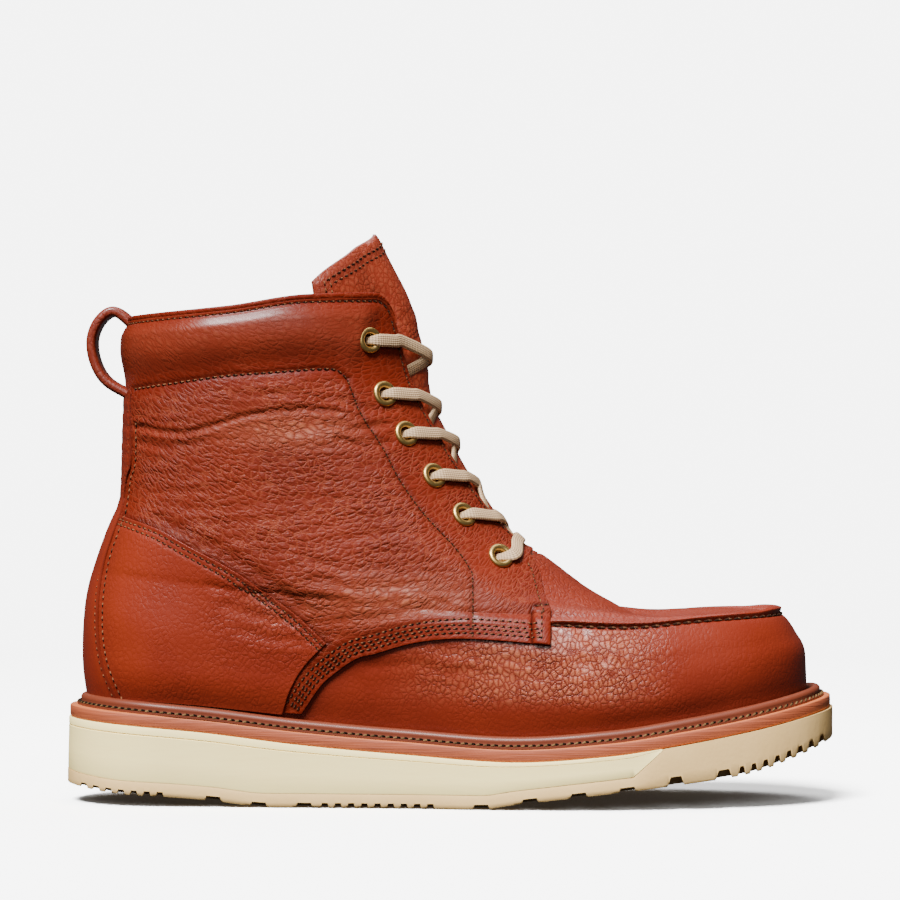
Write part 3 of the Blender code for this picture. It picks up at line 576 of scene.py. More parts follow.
    def top_row(self, parts: Array) -> Array:
        """Row of the collar's top edge, whose front corner is rounded off."""
        away = np.interp(np.asarray(parts), self.edge_parts, self.edge_run)
        run = np.clip(self.corner - away, 0, self.corner)
        return TOP_ROW - (self.corner - np.sqrt(self.corner**2 - run**2)) / ROW_RISE

    def corner_line(self, inside: float) -> Array:
        """Spots round the collar's front corner a distance inside it, from the top to the facing."""
        angle = np.linspace(0, math.pi / 2, 14)
        reach = self.corner - inside
        away = self.corner - reach * np.sin(angle)
        under = self.corner - reach * np.cos(angle)
        return np.stack([TOP_ROW - under / ROW_RISE, np.interp(away, self.edge_run, self.edge_parts)], -1)


LAST = Last()
MIDDLE = middle_of_sole()


class Value:
    """A number on a shader socket: arithmetic on it adds Math nodes."""

    def __init__(self, tree: "Tree", socket: bpy.types.NodeSocket) -> None:
        """Keep the tree and the socket."""
        self.tree = tree
        self.socket = socket

    def math(self, operation: str, *others: object) -> "Value":
        """A Math node on this value and others, in that order."""
        values = dict(enumerate((self, *others)))
        return self.tree.value("ShaderNodeMath", {"operation": operation}, values)

    def __add__(self, other: object) -> "Value":
        """Sum."""
        return self.math("ADD", other)

    __radd__ = __add__

    def __mul__(self, other: object) -> "Value":
        """Product."""
        return self.math("MULTIPLY", other)

    __rmul__ = __mul__

    def __sub__(self, other: object) -> "Value":
        """Difference."""
        return self.math("SUBTRACT", other)

    def __rsub__(self, other: object) -> "Value":
        """Difference from a number."""
        return self.math("MULTIPLY", -1.0).math("ADD", other)

    def __pow__(self, other: object) -> "Value":
        """Power."""
        return self.math("POWER", other)

    def clipped(self) -> "Value":
        """The value held between 0 and 1."""
        return self.math("MAXIMUM", 0.0).math("MINIMUM", 1.0)


class Tree:
    """A material's nodes, with a Principled shader at the end."""

    def __init__(self, name: str) -> None:
        """Make the material."""
        self.material = bpy.data.materials.new(name)
        self.material.use_nodes = True
        self.nodes = self.material.node_tree.nodes
        self.links = self.material.node_tree.links
        self.shader = self.nodes["Principled BSDF"]

    def node(self, kind: str, settings: dict, values: dict) -> bpy.types.Node:
        """A node of any kind.

        Args:
            kind: Blender's name of the node.
            settings: Properties, set first. stops gives a ramp's places and colours.
            values: Numbers, colours, sockets or Values by socket name or number.

        Returns:
            The node.
        """
        made = self.nodes.new(kind)
        for name, setting in settings.items():
            if name == "stops":
                self.set_stops(made, setting)
            else:
                setattr(made, name, setting)
        self.feed(made, values)
        return made

    def set_stops(self, made: bpy.types.Node, stops: tuple) -> None:
        """Give a ramp its places and colours."""
        ramp = made.color_ramp.elements
        while len(ramp) < len(stops):
            ramp.new(0.5)
        for element, (place, colour) in zip(ramp, stops):
            element.position = place
            element.color = (*colour, 1.0)

    def feed(self, made: bpy.types.Node, values: dict) -> None:
        """Set or link a node's inputs."""
        for name, value in values.items():
            socket = made.inputs[name]
            if isinstance(value, Value):
                self.links.new(value.socket, socket)
            elif isinstance(value, bpy.types.NodeSocket):
                self.links.new(value, socket)
            elif isinstance(value, tuple) and socket.type == "RGBA":
                socket.default_value = (*value, 1.0)
            else:
                socket.default_value = value

    def value(self, kind: str, settings: dict, values: dict, output: object = 0) -> Value:
        """A node's output as a Value."""
        return Value(self, self.node(kind, settings, values).outputs[output])

    def coordinates(self, output: str = "Object") -> bpy.types.NodeSocket:
        """Object coordinates or the piece's own UV map."""
        return self.node("ShaderNodeTexCoord", {}, {}).outputs[output]

    def scaled(self, vector: bpy.types.NodeSocket, scale: tuple) -> bpy.types.NodeSocket:
        """A vector scaled along each axis."""
        values = {"Vector": vector, "Scale": scale}
        return self.node("ShaderNodeMapping", {"vector_type": "POINT"}, values).outputs[0]

    def attribute(self, name: str) -> Value:
        """A number kept on the mesh's points."""
        return self.value("ShaderNodeAttribute", {"attribute_name": name}, {}, "Fac")

    def noise(self, vector: bpy.types.NodeSocket, scale: float, detail: float = 2.0) -> Value:
        """Soft noise from 0 to 1."""
        return self.value("ShaderNodeTexNoise", {}, {"Vector": vector, "Scale": scale, "Detail": detail}, 0)

    def mixed(self, factor: Value, low: object, high: object) -> bpy.types.NodeSocket:
        """A colour between two."""
        made = self.node("ShaderNodeMix", {"data_type": "RGBA"}, {0: factor, 6: low, 7: high})
        return made.outputs[2]

    def bump(self, height: Value, depth: float) -> bpy.types.NodeSocket:
        """Normals of a height of 0 to 1 times a depth in millimetres."""
        values = {"Strength": 1.0, "Distance": depth * MILLIMETRE, "Height": height}
        return self.node("ShaderNodeBump", {}, values).outputs[0]

    def finish(self, values: dict) -> bpy.types.Material:
        """Feed the Principled shader."""
        self.feed(self.shader, values)
        return self.material


@dataclass(frozen=True)
class Leather:
    """Oiled leather: domed pebbles with pale or darker creases between them, cloudy colour, wax on worn
    places.

    The mesh gives grain (strength of the pebbles), a painted shade (near seams, in creases and holes, towards
    the bottom) and a share of wax that also paints a highlight: the tops of the pebbles turn pale.
    sway bends the rows of pebbles.
    """

    name: str
    tone: Colour
    # deep: the colour that the painted shade darkens towards
    deep: Colour
    bloom: Colour
    # crease: colour of the grooves; a darker one is painted shade in them
    crease: Colour
    pebbles: tuple[float, float, float] = (490.0, 460.0, 390.0)
    # pale: colour of the painted highlight on the pebbles' tops
    pale: Colour = (0.46, 0.130, 0.060)
    sway: float = 0.0
    sway_from: float = 0.0
    depth: float = 0.55
    roughness: float = 0.38
    gloss: float = 0.24
    wax: float = 0.24
    groove: float = 0.55

    def material(self) -> bpy.types.Material:
        """Voronoi cells bent by noise give the pebbles, fine noise the pores, slow noise the clouds."""
        tree = Tree(self.name)
        place = tree.coordinates()
        grain, painted_shade, polish = (tree.attribute(key) for key in ("grain", "painted_shade", "polish"))
        bent = tree.node("ShaderNodeTexNoise", {}, {"Vector": place, "Scale": 150.0, "Detail": 1.0})
        shift = {0: bent.outputs["Color"], "Scale": 0.0022}
        offset = tree.node("ShaderNodeVectorMath", {"operation": "SCALE"}, shift).outputs[0]
        moved = tree.node("ShaderNodeVectorMath", {"operation": "ADD"}, {0: place, 1: offset})
        moved = self.swayed(tree, moved.outputs[0])
        to_border = self.cells(tree, moved, 1.0)
        dome = (to_border * 2.3).clipped() ** 0.7
        groove = (1.0 - to_border * 8.0).clipped()
        fine = (self.cells(tree, moved, 2.4) * 2.3).clipped() ** 0.7
        pores = tree.noise(place, 2600.0, 2.0)
        clouds = tree.noise(place, 34.0, 5.0)
        patches = (tree.noise(place, 80.0, 2.0) * 2.6 - 0.8).clipped()
        uneven = grain * (patches * 0.7 + 0.5)
        height = uneven * (dome * 0.76 + fine * 0.24) + pores * 0.06
        colour = tree.mixed((clouds * 1.8 - 0.4).clipped(), self.tone, self.bloom)
        # Painted highlight: where there is wax, the tops of the pebbles are painted pale.
        colour = tree.mixed((polish * dome * grain * 0.72).clipped(), colour, self.pale)
        # The grooves take the crease colour: pale lines are the leather's own, a darker crease is painted
        # shade.
        colour = tree.mixed((groove * uneven * self.groove).clipped(), colour, self.crease)
        # Painted shade: the fine grain's hollows and the mesh's painted shade value darken the colour towards
        # deep.
        colour = tree.mixed(((1.0 - fine) * uneven * 0.12 + painted_shade).clipped(), colour, self.deep)
        rough = self.roughness + grain * 0.04 + pores * 0.06
        coat = polish * (dome * grain + (1.0 - grain))
        return tree.finish(
            {
                "Base Color": colour,
                "Roughness": rough.clipped(),
                "Normal": tree.bump(height, self.depth),
                "Specular IOR Level": self.gloss,
                "Coat Weight": coat.clipped(),
                "Coat Roughness": self.wax,
            }
        )

    def swayed(self, tree: Tree, place: bpy.types.NodeSocket) -> bpy.types.NodeSocket:
        """Heights less the square of the way along, so that rows of pebbles hang in a curve."""
        parts = tree.node("ShaderNodeSeparateXYZ", {}, {0: place})
        along = Value(tree, parts.outputs[0]) - self.sway_from
        height = Value(tree, parts.outputs[2]) - along * along * self.sway
        values = {0: parts.outputs[0], 1: parts.outputs[1], 2: height}
        return tree.node("ShaderNodeCombineXYZ", {}, values).outputs[0]

    def cells(self, tree: Tree, place: bpy.types.NodeSocket, finer: float) -> Value:
        """Distance to the border of the cell, 0 to about 0.45 of its width."""
        scale = tuple(finer * pebble for pebble in self.pebbles)
        values = {"Vector": tree.scaled(place, scale), "Scale": 1.0, "Randomness": 0.9}
        return tree.value("ShaderNodeTexVoronoi", {"feature": "DISTANCE_TO_EDGE"}, values, "Distance")


@dataclass(frozen=True)
class Plain:
    """A matte or metal finish with slow clouds and fine speckle, streaked along x where streak is above 0."""

    name: str
    tone: Colour
    other: Colour
    roughness: float
    metal: float = 0.0
    speckle: float = 900.0
    depth: float = 0.08
    streak: float = 0.0

    def material(self) -> bpy.types.Material:
        """Noise mixes the two tones and roughens the face."""
        tree = Tree(self.name)
        place = tree.coordinates()
        clouds = tree.noise(place, 40.0, 3.0)
        grit = tree.noise(place, self.speckle, 2.0)
        if self.streak:
            grit = tree.noise(tree.scaled(place, (90.0, 90.0, self.streak)), 1.0, 3.0)
        colour = tree.mixed((clouds * 0.6 + grit * 0.6 - 0.1).clipped(), self.tone, self.other)
        values = {"Base Color": colour, "Metallic": self.metal, "Normal": tree.bump(grit, self.depth)}
        values["Roughness"] = (self.roughness + (grit - 0.5) * 0.15).clipped()
        return tree.finish(values)


@dataclass(frozen=True)
class Tread:
    """Matte rubber with fine slanted ribs on its underside (the mesh's under value), darkened there by a
    painted shade.
    """

    name: str
    tone: Colour
    other: Colour
    rib: float = 4.5
    depth: float = 0.8
    # colour of the painted shade on the underside
    worn: Colour = (0.17, 0.125, 0.085)

    def material(self) -> bpy.types.Material:
        """Noise mixes the two tones; a sine of x and of the distance from the middle line gives the ribs."""
        tree = Tree(self.name)
        place = tree.coordinates()
        clouds = tree.noise(place, 45.0, 4.0)
        parts = tree.node("ShaderNodeSeparateXYZ", {}, {0: place})
        x, y = Value(tree, parts.outputs[0]), Value(tree, parts.outputs[1])
        ribs = ((x + y.math("ABSOLUTE") * 0.7) * (math.tau / (self.rib * MILLIMETRE))).math("SINE")
        under = tree.attribute("under")
        height = under * ribs + tree.noise(place, 700.0, 2.0) * 0.1
        colour = tree.mixed((clouds * 1.5 - 0.25).clipped(), self.tone, self.other)
        # Painted shade: the underside turns dark, which also keeps the floor's shadow under the sole dark.
        colour = tree.mixed(under * 0.9, colour, self.worn)
        return tree.finish({"Base Color": colour, "Roughness": 0.72, "Normal": tree.bump(height, self.depth)})


@dataclass(frozen=True)
class Layered:
    """A sole layer's side: streaked along x, its edges in a colour of their own (the mesh's edge value)."""

    name: str
    tone: Colour
    other: Colour
    rim: Colour
    roughness: float

    def material(self) -> bpy.types.Material:
        """Noise stretched along the boot gives the streaks, the mesh's edge value the rims."""
        tree = Tree(self.name)
        place = tree.coordinates()
        streaks = tree.noise(tree.scaled(place, (60.0, 60.0, 1500.0)), 1.0, 4.0)
        colour = tree.mixed((streaks * 1.6 - 0.3).clipped(), self.tone, self.other)
        colour = tree.mixed(tree.attribute("edge"), colour, self.rim)
        normal = tree.bump(streaks, 0.25)
        return tree.finish({"Base Color": colour, "Roughness": self.roughness, "Normal": normal})


@dataclass(frozen=True)
class Thread:
    """Twisted two-coloured thread: the mesh's tone value chooses the strand."""

    name: str
    dark: Colour
    pale: Colour
    roughness: float = 0.85

    def material(self) -> bpy.types.Material:
        """Mix of the two strands."""
        tree = Tree(self.name)
        colour = tree.mixed(tree.attribute("tone"), self.dark, self.pale)
        return tree.finish({"Base Color": colour, "Roughness": self.roughness, "Specular IOR Level": 0.1})


@dataclass(frozen=True)
class Braid:
    """Flat waxed braid: two slanted rows of strands that pass over and under, on the piece's UV map."""

    name: str
    dark: Colour
    pale: Colour

    def material(self) -> bpy.types.Material:
        """Product of two slanted sines, u along and v across the lace in millimetres."""
        tree = Tree(self.name)
        parts = tree.node("ShaderNodeSeparateXYZ", {}, {0: tree.coordinates("UV")})
        along, across = Value(tree, parts.outputs[0]), Value(tree, parts.outputs[1])
        one = (along * 2.9 + across * 3.6).math("SINE")
        two = (along * 2.9 - across * 3.6).math("SINE")
        weave = (one * two) * 0.5 + 0.5
        ribs = (across * 7.0).math("SINE") * 0.5 + 0.5
        height = weave * 0.8 + ribs * 0.2
        # Painted shade in the weave: the colour follows its height, darker in the hollows and paler on the
        # strands.
        colour = tree.mixed((height * 1.5 - 0.1).clipped(), self.dark, self.pale)
        return tree.finish({"Base Color": colour, "Roughness": 0.62, "Normal": tree.bump(height, 0.22)})


class Workshop:
    """Makes meshes into pieces of the boot."""

    def __init__(self) -> None:
        """Start with no materials."""
        self.made: dict[str, bpy.types.Material] = {}

    def material(self, finish: object) -> bpy.types.Material:
        """The material of a finish, made once."""
        if finish.name not in self.made:
            self.made[finish.name] = finish.material()
        return self.made[finish.name]

    def add(
        self,
        name: str,
        points: Array,
        faces: Array,
        finish: object,
        slot: str,
        nodes: tuple[str, ...] = (),
        values: dict[str, Array] | None = None,
        uv: Array | None = None,
        closed: bool = False,
    ) -> bpy.types.Object:
        """A smooth-shaded mesh that rides on the boot.

        Args:
            name: Name of the piece.
            points: Points in millimetres.
            faces: Four corners for each face, the last repeated in a triangle.
            finish: Finish that makes its material.
            slot: A slot name for it, not used.
            nodes: Solids that it replaces.
            values: Numbers on its points, by attribute name.
            uv: Two texture coordinates for each point.
            closed: Whether it is a closed body: equal points are merged and faces turned outward.

        Returns:
            The object.
        """
        points = (np.asarray(points, float).reshape(-1, 3) - MIDDLE) * MILLIMETRE
        mesh = bpy.data.meshes.new(name)
        mesh.vertices.add(len(points))
        mesh.vertices.foreach_set("co", points.ravel())
        mesh.loops.add(faces.size)
        mesh.loops.foreach_set("vertex_index", faces.ravel())
        mesh.polygons.add(len(faces))
        mesh.polygons.foreach_set("loop_start", np.arange(0, faces.size, faces.shape[1]))
        mesh.polygons.foreach_set("loop_total", np.full(len(faces), faces.shape[1]))
        mesh.update(calc_edges=True)
        for key, numbers in (values or {}).items():
            layer = mesh.attributes.new(key, "FLOAT", "POINT")
            layer.data.foreach_set("value", np.asarray(numbers, float).ravel())
        if uv is not None:
            layer = mesh.uv_layers.new(name="UVMap")
            layer.data.foreach_set("uv", np.asarray(uv, float).reshape(-1, 2)[faces.ravel()].ravel())
        if closed:
            self.close(mesh)
        mesh.shade_smooth()
        mesh.set_sharp_from_angle(angle=math.radians(50))
        mesh.materials.append(self.material(finish))
        made = bpy.data.objects.new(name, mesh)
        bpy.context.scene.collection.objects.link(made)
        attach(made, "root")
        if nodes:
            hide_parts(*nodes)
        LOG.info("%s: %d points, %d faces", name, len(points), len(faces))
        return made

    def close(self, mesh: bpy.types.Mesh) -> None:
        """Merge equal points, so that seams and poles are shut, and turn the faces outward."""
        body = bmesh.new()
        body.from_mesh(mesh)
        bmesh.ops.remove_doubles(body, verts=body.verts, dist=0.002 * MILLIMETRE)
        bmesh.ops.recalc_face_normals(body, faces=body.faces)
        body.to_mesh(mesh)
        body.free()


def grid_faces(rows: int, columns: int, wrap: bool = False) -> Array:
    """Four corners of each cell of a grid of points; wrap joins the last column to the first."""
    index = np.arange(rows * columns).reshape(rows, columns)
    right = np.roll(index, -1, axis=1)
    cells = np.stack([index[:-1], right[:-1], right[1:], index[1:]], axis=-1)
    cells = cells if wrap else cells[:, :-1]
    return cells.reshape(-1, 4)


def faces_outward(grid: Array, cells: Array, outward: Array) -> Array:
    """The cells, turned round as a whole where they look against the given directions."""
    points, ways = grid.reshape(-1, 3), outward.reshape(-1, 3)
    looks = np.cross(points[cells[:, 2]] - points[cells[:, 0]], points[cells[:, 3]] - points[cells[:, 1]])
    return cells if (looks * ways[cells[:, 0]]).sum() > 0 else cells[:, ::-1]


def tube(sections: Array, capped: bool = True) -> tuple[Array, Array]:
    """Points and faces of a closed tube through sections of equally many points, its ends shut to a point."""
    sections = np.asarray(sections, float)
    if capped:
        count = sections.shape[1]
        ends = [np.repeat(section.mean(0)[None], count, 0) for section in (sections[0], sections[-1])]
        sections = np.concatenate([ends[0][None], sections, ends[1][None]])
    cells = grid_faces(*sections.shape[:2], wrap=True)
    middle = sections.mean(1, keepdims=True)
    return sections, faces_outward(sections, cells, sections - middle)


def joined(parts: list[tuple[Array, Array]]) -> tuple[Array, Array]:
    """Several bodies of points and faces as one."""
    points, faces, count = [], [], 0
    for body, cells in parts:
        body = body.reshape(-1, 3)
        points.append(body)
        faces.append(cells + count)
        count += len(body)
    return np.concatenate(points), np.concatenate(faces)


@dataclass
class Stitching:
    """Rows of thread: each stitch is a short arched rod, half of it dark and half pale."""

    length: float = 2.1
    pitch: float = 2.75
    radius: float = 0.31
    height: float = 0.16
    sides: int = 6
    slant: float = 0.0

    def along(self, line: Array, ways: Array) -> tuple[Array, Array, Array]:
        """Stitches along a line.

        Args:
            line: Points that follow each other closely.
            ways: Directions out of the leather at the points.

        Returns:
            Points, faces and tone values.
        """
        length = np.concatenate([[0], np.cumsum(np.linalg.norm(np.diff(line, axis=0), axis=1))])
        count = max(int(length[-1] / self.pitch), 1)
        at = (np.arange(count) + 0.5) * length[-1] / count
        centre = np.stack([np.interp(at, length, column) for column in line.T], -1)
        out = unit(np.stack([np.interp(at, length, column) for column in ways.T], -1))
        run = np.gradient(line, axis=0)
        run = unit(np.stack([np.interp(at, length, column) for column in run.T], -1))
        side = unit(np.cross(out, run))
        run = unit(run + self.slant * side)
        side = unit(np.cross(out, run))
        share = np.array([-0.5, -0.42, -0.16, 0.0, 0.0, 0.16, 0.42, 0.5])
        size = np.array([0.0, 0.72, 1.0, 1.0, 1.0, 1.0, 0.72, 0.0]) * self.radius
        lift = self.height * (1 - (2 * share) ** 2) - 0.12 * (2 * share) ** 4
        angle = np.arange(self.sides) * math.tau / self.sides
        across = size[:, None] * np.cos(angle)
        rise = lift[:, None] + size[:, None] * np.sin(angle)
        points = (
            centre[:, None, None]
            + run[:, None, None] * (share * self.length)[None, :, None, None]
            + side[:, None, None] * across[None, ..., None]
            + out[:, None, None] * rise[None, ..., None]
        )
        sections = len(share)
        cells = grid_faces(sections, self.sides, wrap=True)
        cells = faces_outward(points[0], cells, points[0] - points[0].mean((0, 1)))
        faces = (cells[None] + np.arange(count)[:, None, None] * sections * self.sides).reshape(-1, 4)
        pale = np.random.default_rng(count).uniform(0.35, 1.0, count)
        tone = pale[:, None] * (np.arange(sections) >= sections // 2)
        return points.reshape(-1, 3), faces, np.repeat(tone[..., None], self.sides, -1).ravel()

    def rows(self, lines: list[tuple[Array, Array]]) -> tuple[Array, Array, Array]:
        """Stitches along several lines as one body with its tone values."""
        made = [self.along(line, ways) for line, ways in lines]
        points, faces = joined([(body, cells) for body, cells, _ in made])
        return points, faces, np.concatenate([tone for _, _, tone in made])


@dataclass
class Sole:
    """Tread, wedge, runner, welt and footbed."""

    shop: Workshop
    tread_thickness: float = 5.3
    runner_thickness: float = 5.0
    nose: float = 225.5
    nose_run: float = 12.0
    clearance: float = 0.3
    notch_reach: float = 9.0
    stations: int = 110

    def runner_floor(self, x: Array) -> Array:
        """Height of the runner's underside."""
        return seat_height(x) - self.runner_thickness

    def tread_roof(self, x: Array) -> Array:
        """Height of the tread's top: a thin layer that rises to the runner in front of the wedge."""
        thin = tread_height(x) + self.tread_thickness
        full = self.runner_floor(x) - self.clearance
        return thin + np.clip((x - self.nose) / self.nose_run, 0, 1) * (full - thin)

    def wedge_floor(self, x: Array) -> Array:
        """Height of the wedge's underside, a little over the tread."""
        return self.tread_roof(x) + 0.12

    def wedge_roof(self, x: Array) -> Array:
        """Height of the wedge's top, a little under the runner."""
        return self.runner_floor(x) - 0.1

    def shares(self, last: float = 1.0) -> Array:
        """Shares of the length, closer together at the round ends."""
        return (1 - np.cos(np.linspace(0, math.acos(1 - 2 * last), self.stations))) / 2

    def layer(
        self,
        shares: Array,
        low: Callable[[Array], Array],
        high: Callable[[Array], Array],
        steps: tuple[SideRow, ...],
    ) -> tuple[Array, Array]:
        """A layer with stepped sides.

        Args:
            shares: Shares of the sole's length.
            low: Gives the height of its underside at x.
            high: Gives the height of its top at x.
            steps: Rows of its sides, from low to high.

        Returns:
            Sections, and the share of height of each point.
        """
        lateral, medial, levels = [], [], []
        for step in steps:
            x, out, inner = sole_plan(shares, step.inset)
            z = low(x) + step.share * (high(x) - low(x))
            lateral.append(np.stack([x, -out, z], -1))
            medial.append(np.stack([x, inner, z], -1))
            levels.append(step.share)
        sections = np.stack(lateral + medial[::-1], axis=1)
        return sections, np.broadcast_to(levels + levels[::-1], sections.shape[:2])

    def build(self) -> None:
        """Make all layers."""
        self.build_tread()
        self.build_wedge()
        self.build_runner()
        self.build_welt()
        self.build_footbed()

    def notch_depth(self, x: Array) -> Array:
        """Depth of the notch at x, 0 between notches."""
        depth = np.zeros(x.shape)
        for run in NOTCHES:
            centres = run.first + run.pitch * np.arange(run.count)
            away = np.abs(x[:, None] - centres).min(1)
            depth = np.maximum(depth, run.depth * (1 - ease(away, run.root / 2, run.mouth / 2)))
        return depth

    def build_tread(self) -> None:
        """Tread: sections across the boot, whose lower edge rises at each notch."""
        corners = [self.shares()]
        for run in NOTCHES:
            centres = run.first + run.pitch * np.arange(run.count)
            for half in np.linspace(run.root / 2, run.mouth / 2, 5):
                corners += [(centres - half) / SOLE_LENGTH, (centres + half) / SOLE_LENGTH]
        places = [(self.nose / SOLE_LENGTH, (self.nose + self.nose_run) / SOLE_LENGTH)]
        shares = np.unique(np.clip(np.concatenate(corners + places), 0, 1))
        x, lateral, medial = sole_plan(shares, 0.0)
        low, high, cut = tread_height(x), self.tread_roof(x), self.notch_depth(x)
        edges = []
        for half, sign in ((lateral, -1), (medial, 1)):
            reach = np.maximum(half - np.minimum(self.notch_reach, 0.6 * half), 0)
            rows = [(reach * 0, low), (reach, low), (reach + 0.02, low + cut)]
            rows += [(np.maximum(half - 0.7, 0), low + cut)]
            rows += [(half - 0.1 * (half > 1), np.maximum(low + 0.9, low + cut + 0.2))]
            rows += [(half, low + 0.35 * (high - low)), (half * 0.9995, low + 0.8 * (high - low))]
            rows += [(np.maximum(half - 0.3, 0), high), (half * 0, high)]
            edges.append([np.stack([x, sign * out, z], -1) for out, z in rows])
        sections = np.stack(edges[0] + edges[1][::-1], axis=1)
        under = np.zeros(sections.shape[1])
        under[[0, 1, -1, -2]] = 1.0
        points, faces = tube(sections, capped=False)
        values = {"under": np.broadcast_to(under, sections.shape[:2])}
        finish = Tread("tread_rubber_look", (0.66, 0.42, 0.155), (0.76, 0.50, 0.20))
        self.shop.add("sole_tread", points, faces, finish, "tread_rubber", ("outsole",), values, closed=True)

    def build_wedge(self) -> None:
        """Wedge: a plain side with one fine groove close under the runner."""
        steps = (SideRow(0.0, 0.35), SideRow(0.03, 0.15), SideRow(0.4, 0.3), SideRow(0.80, 0.5))
        steps += (SideRow(0.835, 0.5), SideRow(0.85, 0.95), SideRow(0.865, 0.5))
        steps += (SideRow(0.98, 0.55), SideRow(1.0, 0.8))
        shares = self.shares((self.nose + 0.97 * self.nose_run) / SOLE_LENGTH)
        shares = np.unique(np.append(shares, self.nose / SOLE_LENGTH))
        sections, _ = self.layer(shares, self.wedge_floor, self.wedge_roof, steps)
        points, faces = tube(sections)
        finish = Plain("wedge_foam_look", (1.0, 0.78, 0.31), (1.0, 0.83, 0.35), 0.7, streak=700.0, depth=0.05)
        self.shop.add("sole_wedge", points, faces, finish, "wedge_foam", ("midsole",), closed=True)

    def build_runner(self) -> None:
        """Runner: leather plate with slightly rounded edges."""
        steps = (SideRow(0.0, 1.5), SideRow(0.08, 1.1), SideRow(0.16, 1.0), SideRow(0.5, 0.95))
        steps += (SideRow(0.86, 1.0), SideRow(0.94, 1.2), SideRow(1.0, 1.7))
        sections, level = self.layer(self.shares(), self.runner_floor, seat_height, steps)
        points, faces = tube(sections, capped=False)
        edge = {"edge": (np.abs(level - 0.5) > 0.4) * 0.7}
        tones = (0.36, 0.076, 0.023), (0.21, 0.040, 0.012), (0.46, 0.11, 0.022)
        finish = Layered("runner_leather_look", *tones, roughness=0.7)
        self.shop.add("sole_runner", points, faces, finish, "runner_leather", ("runner",), edge, closed=True)

    def foot_line(self, count: int) -> tuple[Array, Array]:
        """Line round the foot of the upper and the level direction out of it."""
        turns = np.arange(count) * 2.0 / count
        row = np.zeros(count)
        foot = LAST.points(row, turns)
        run = LAST.points(row, np.mod(turns + 0.01, 2)) - LAST.points(row, np.mod(turns - 0.01, 2))
        return foot, unit(np.stack([-run[:, 1], run[:, 0], row], -1))

    def build_welt(self) -> None:
        """Welt: a glossy bead with a flat flange, and the thick stitches that hold it to the runner."""
        foot, out = self.foot_line(320)
        bead = [(0.5, 0.1), (7.6, 0.1), (7.6, 0.9), (6.3, 1.0)]
        arc = np.radians(np.linspace(-25, 190, 12))
        bead += list(zip(4.1 + 2.1 * np.cos(arc), 2.75 + 2.05 * np.sin(arc)))
        sections = []
        for away, up in bead:
            edge = foot + out * away
            edge[:, 2] = seat_height(edge[:, 0]) + up
            sections.append(edge)
        grid = np.stack(sections, axis=1)
        grid = np.concatenate([grid, grid[:1]])
        points, faces = tube(grid, capped=False)
        finish = Leather(
            "welt_leather_look",
            tone=(0.115, 0.022, 0.009),
            deep=(0.03, 0.006, 0.003),
            bloom=(0.155, 0.034, 0.015),
            crease=(0.155, 0.034, 0.015),
            depth=0.1,
            roughness=0.48,
            gloss=0.24,
        )
        levels = {"grain": 0.0, "painted_shade": 0.0, "polish": 0.1}
        values = {key: np.full(points.shape[:2], level) for key, level in levels.items()}
        self.shop.add(
            "welt_bead", points, faces, finish, "welt_leather", ("storm_welt",), values, closed=True
        )
        line = foot + out * 7.0
        line[:, 2] = seat_height(line[:, 0]) + 1.25
        line = np.concatenate([line, line[:1]])
        ways = np.concatenate([out, out[:1]]) * 0.45 + (0, 0, 1)
        thick = Stitching(length=3.2, pitch=3.0, radius=0.42, height=0.2, slant=0.42, sides=6)
        points, faces, tone = thick.along(line, ways)
        thread = Thread("welt_thread_look", (0.012, 0.006, 0.003), (0.16, 0.09, 0.035))
        self.shop.add("welt_stitches", points, faces, thread, "lace", (), {"tone": tone})

    def build_footbed(self) -> None:
        """Footbed: the board inside the boot, a little crowned at its rim."""
        parts = np.linspace(0, 1, 80)
        rows = np.zeros(80)
        edges = [LAST.points(rows, parts), LAST.points(rows, 2 - parts)]
        inset, thickness = 3.4, 4.0
        middle = (edges[0][0, 0] + edges[0][-1, 0]) / 2
        shrink = 1 - 2 * inset / (edges[0][0, 0] - edges[0][-1, 0])
        x = middle + (edges[0][:, 0] - middle) * shrink
        left = np.minimum(edges[0][:, 1] + inset, -0.01)
        right = np.maximum(edges[1][:, 1] - inset, 0.01)
        low = seat_height(x) + self.clearance
        across = np.array([0.0, 1.0, 1.0, 0.985, 0.5, 0.015, 0.0])
        up = np.array([0.0, 0.0, 0.8, 1.0, 0.85, 1.0, 0.8]) * thickness
        y = left[:, None] + across * (right - left)[:, None]
        sections = np.stack(np.broadcast_arrays(x[:, None], y, low[:, None] + up), -1)
        points, faces = tube(sections, capped=False)
        finish = Plain("footbed_look", (0.40, 0.26, 0.15), (0.46, 0.31, 0.19), 0.8, speckle=500.0)
        self.shop.add("footbed", points, faces, finish, "board", ("insole",), closed=True)


UPPER_LEATHER = Leather(
    "upper_leather",
    tone=(0.148, 0.0128, 0.0042),
    deep=(0.044, 0.0050, 0.0029),
    bloom=(0.206, 0.0215, 0.0064),
    # A darker crease colour: painted shade in the grooves of the grain.
    crease=(0.095, 0.0090, 0.0035),
)
SHAFT_LEATHER = Leather(
    "shaft_leather",
    tone=(0.098, 0.0076, 0.0030),
    deep=(0.034, 0.0040, 0.0025),
    bloom=(0.148, 0.0134, 0.0044),
    crease=(0.30, 0.070, 0.032),
    pebbles=(270.0, 300.0, 480.0),
    sway=6.4,
    sway_from=-0.051,
    depth=0.50,
    roughness=0.36,
    gloss=0.09,
    groove=0.5,
)
LINING = Plain("lining_look", (0.36, 0.22, 0.11), (0.44, 0.28, 0.15), 0.75, speckle=600.0)
SEAM_THREAD = Thread("seam_thread_look", (0.012, 0.005, 0.003), (0.20, 0.082, 0.036))
TOE_THREAD = Thread("toe_thread_look", (0.020, 0.008, 0.004), (0.11, 0.048, 0.022))


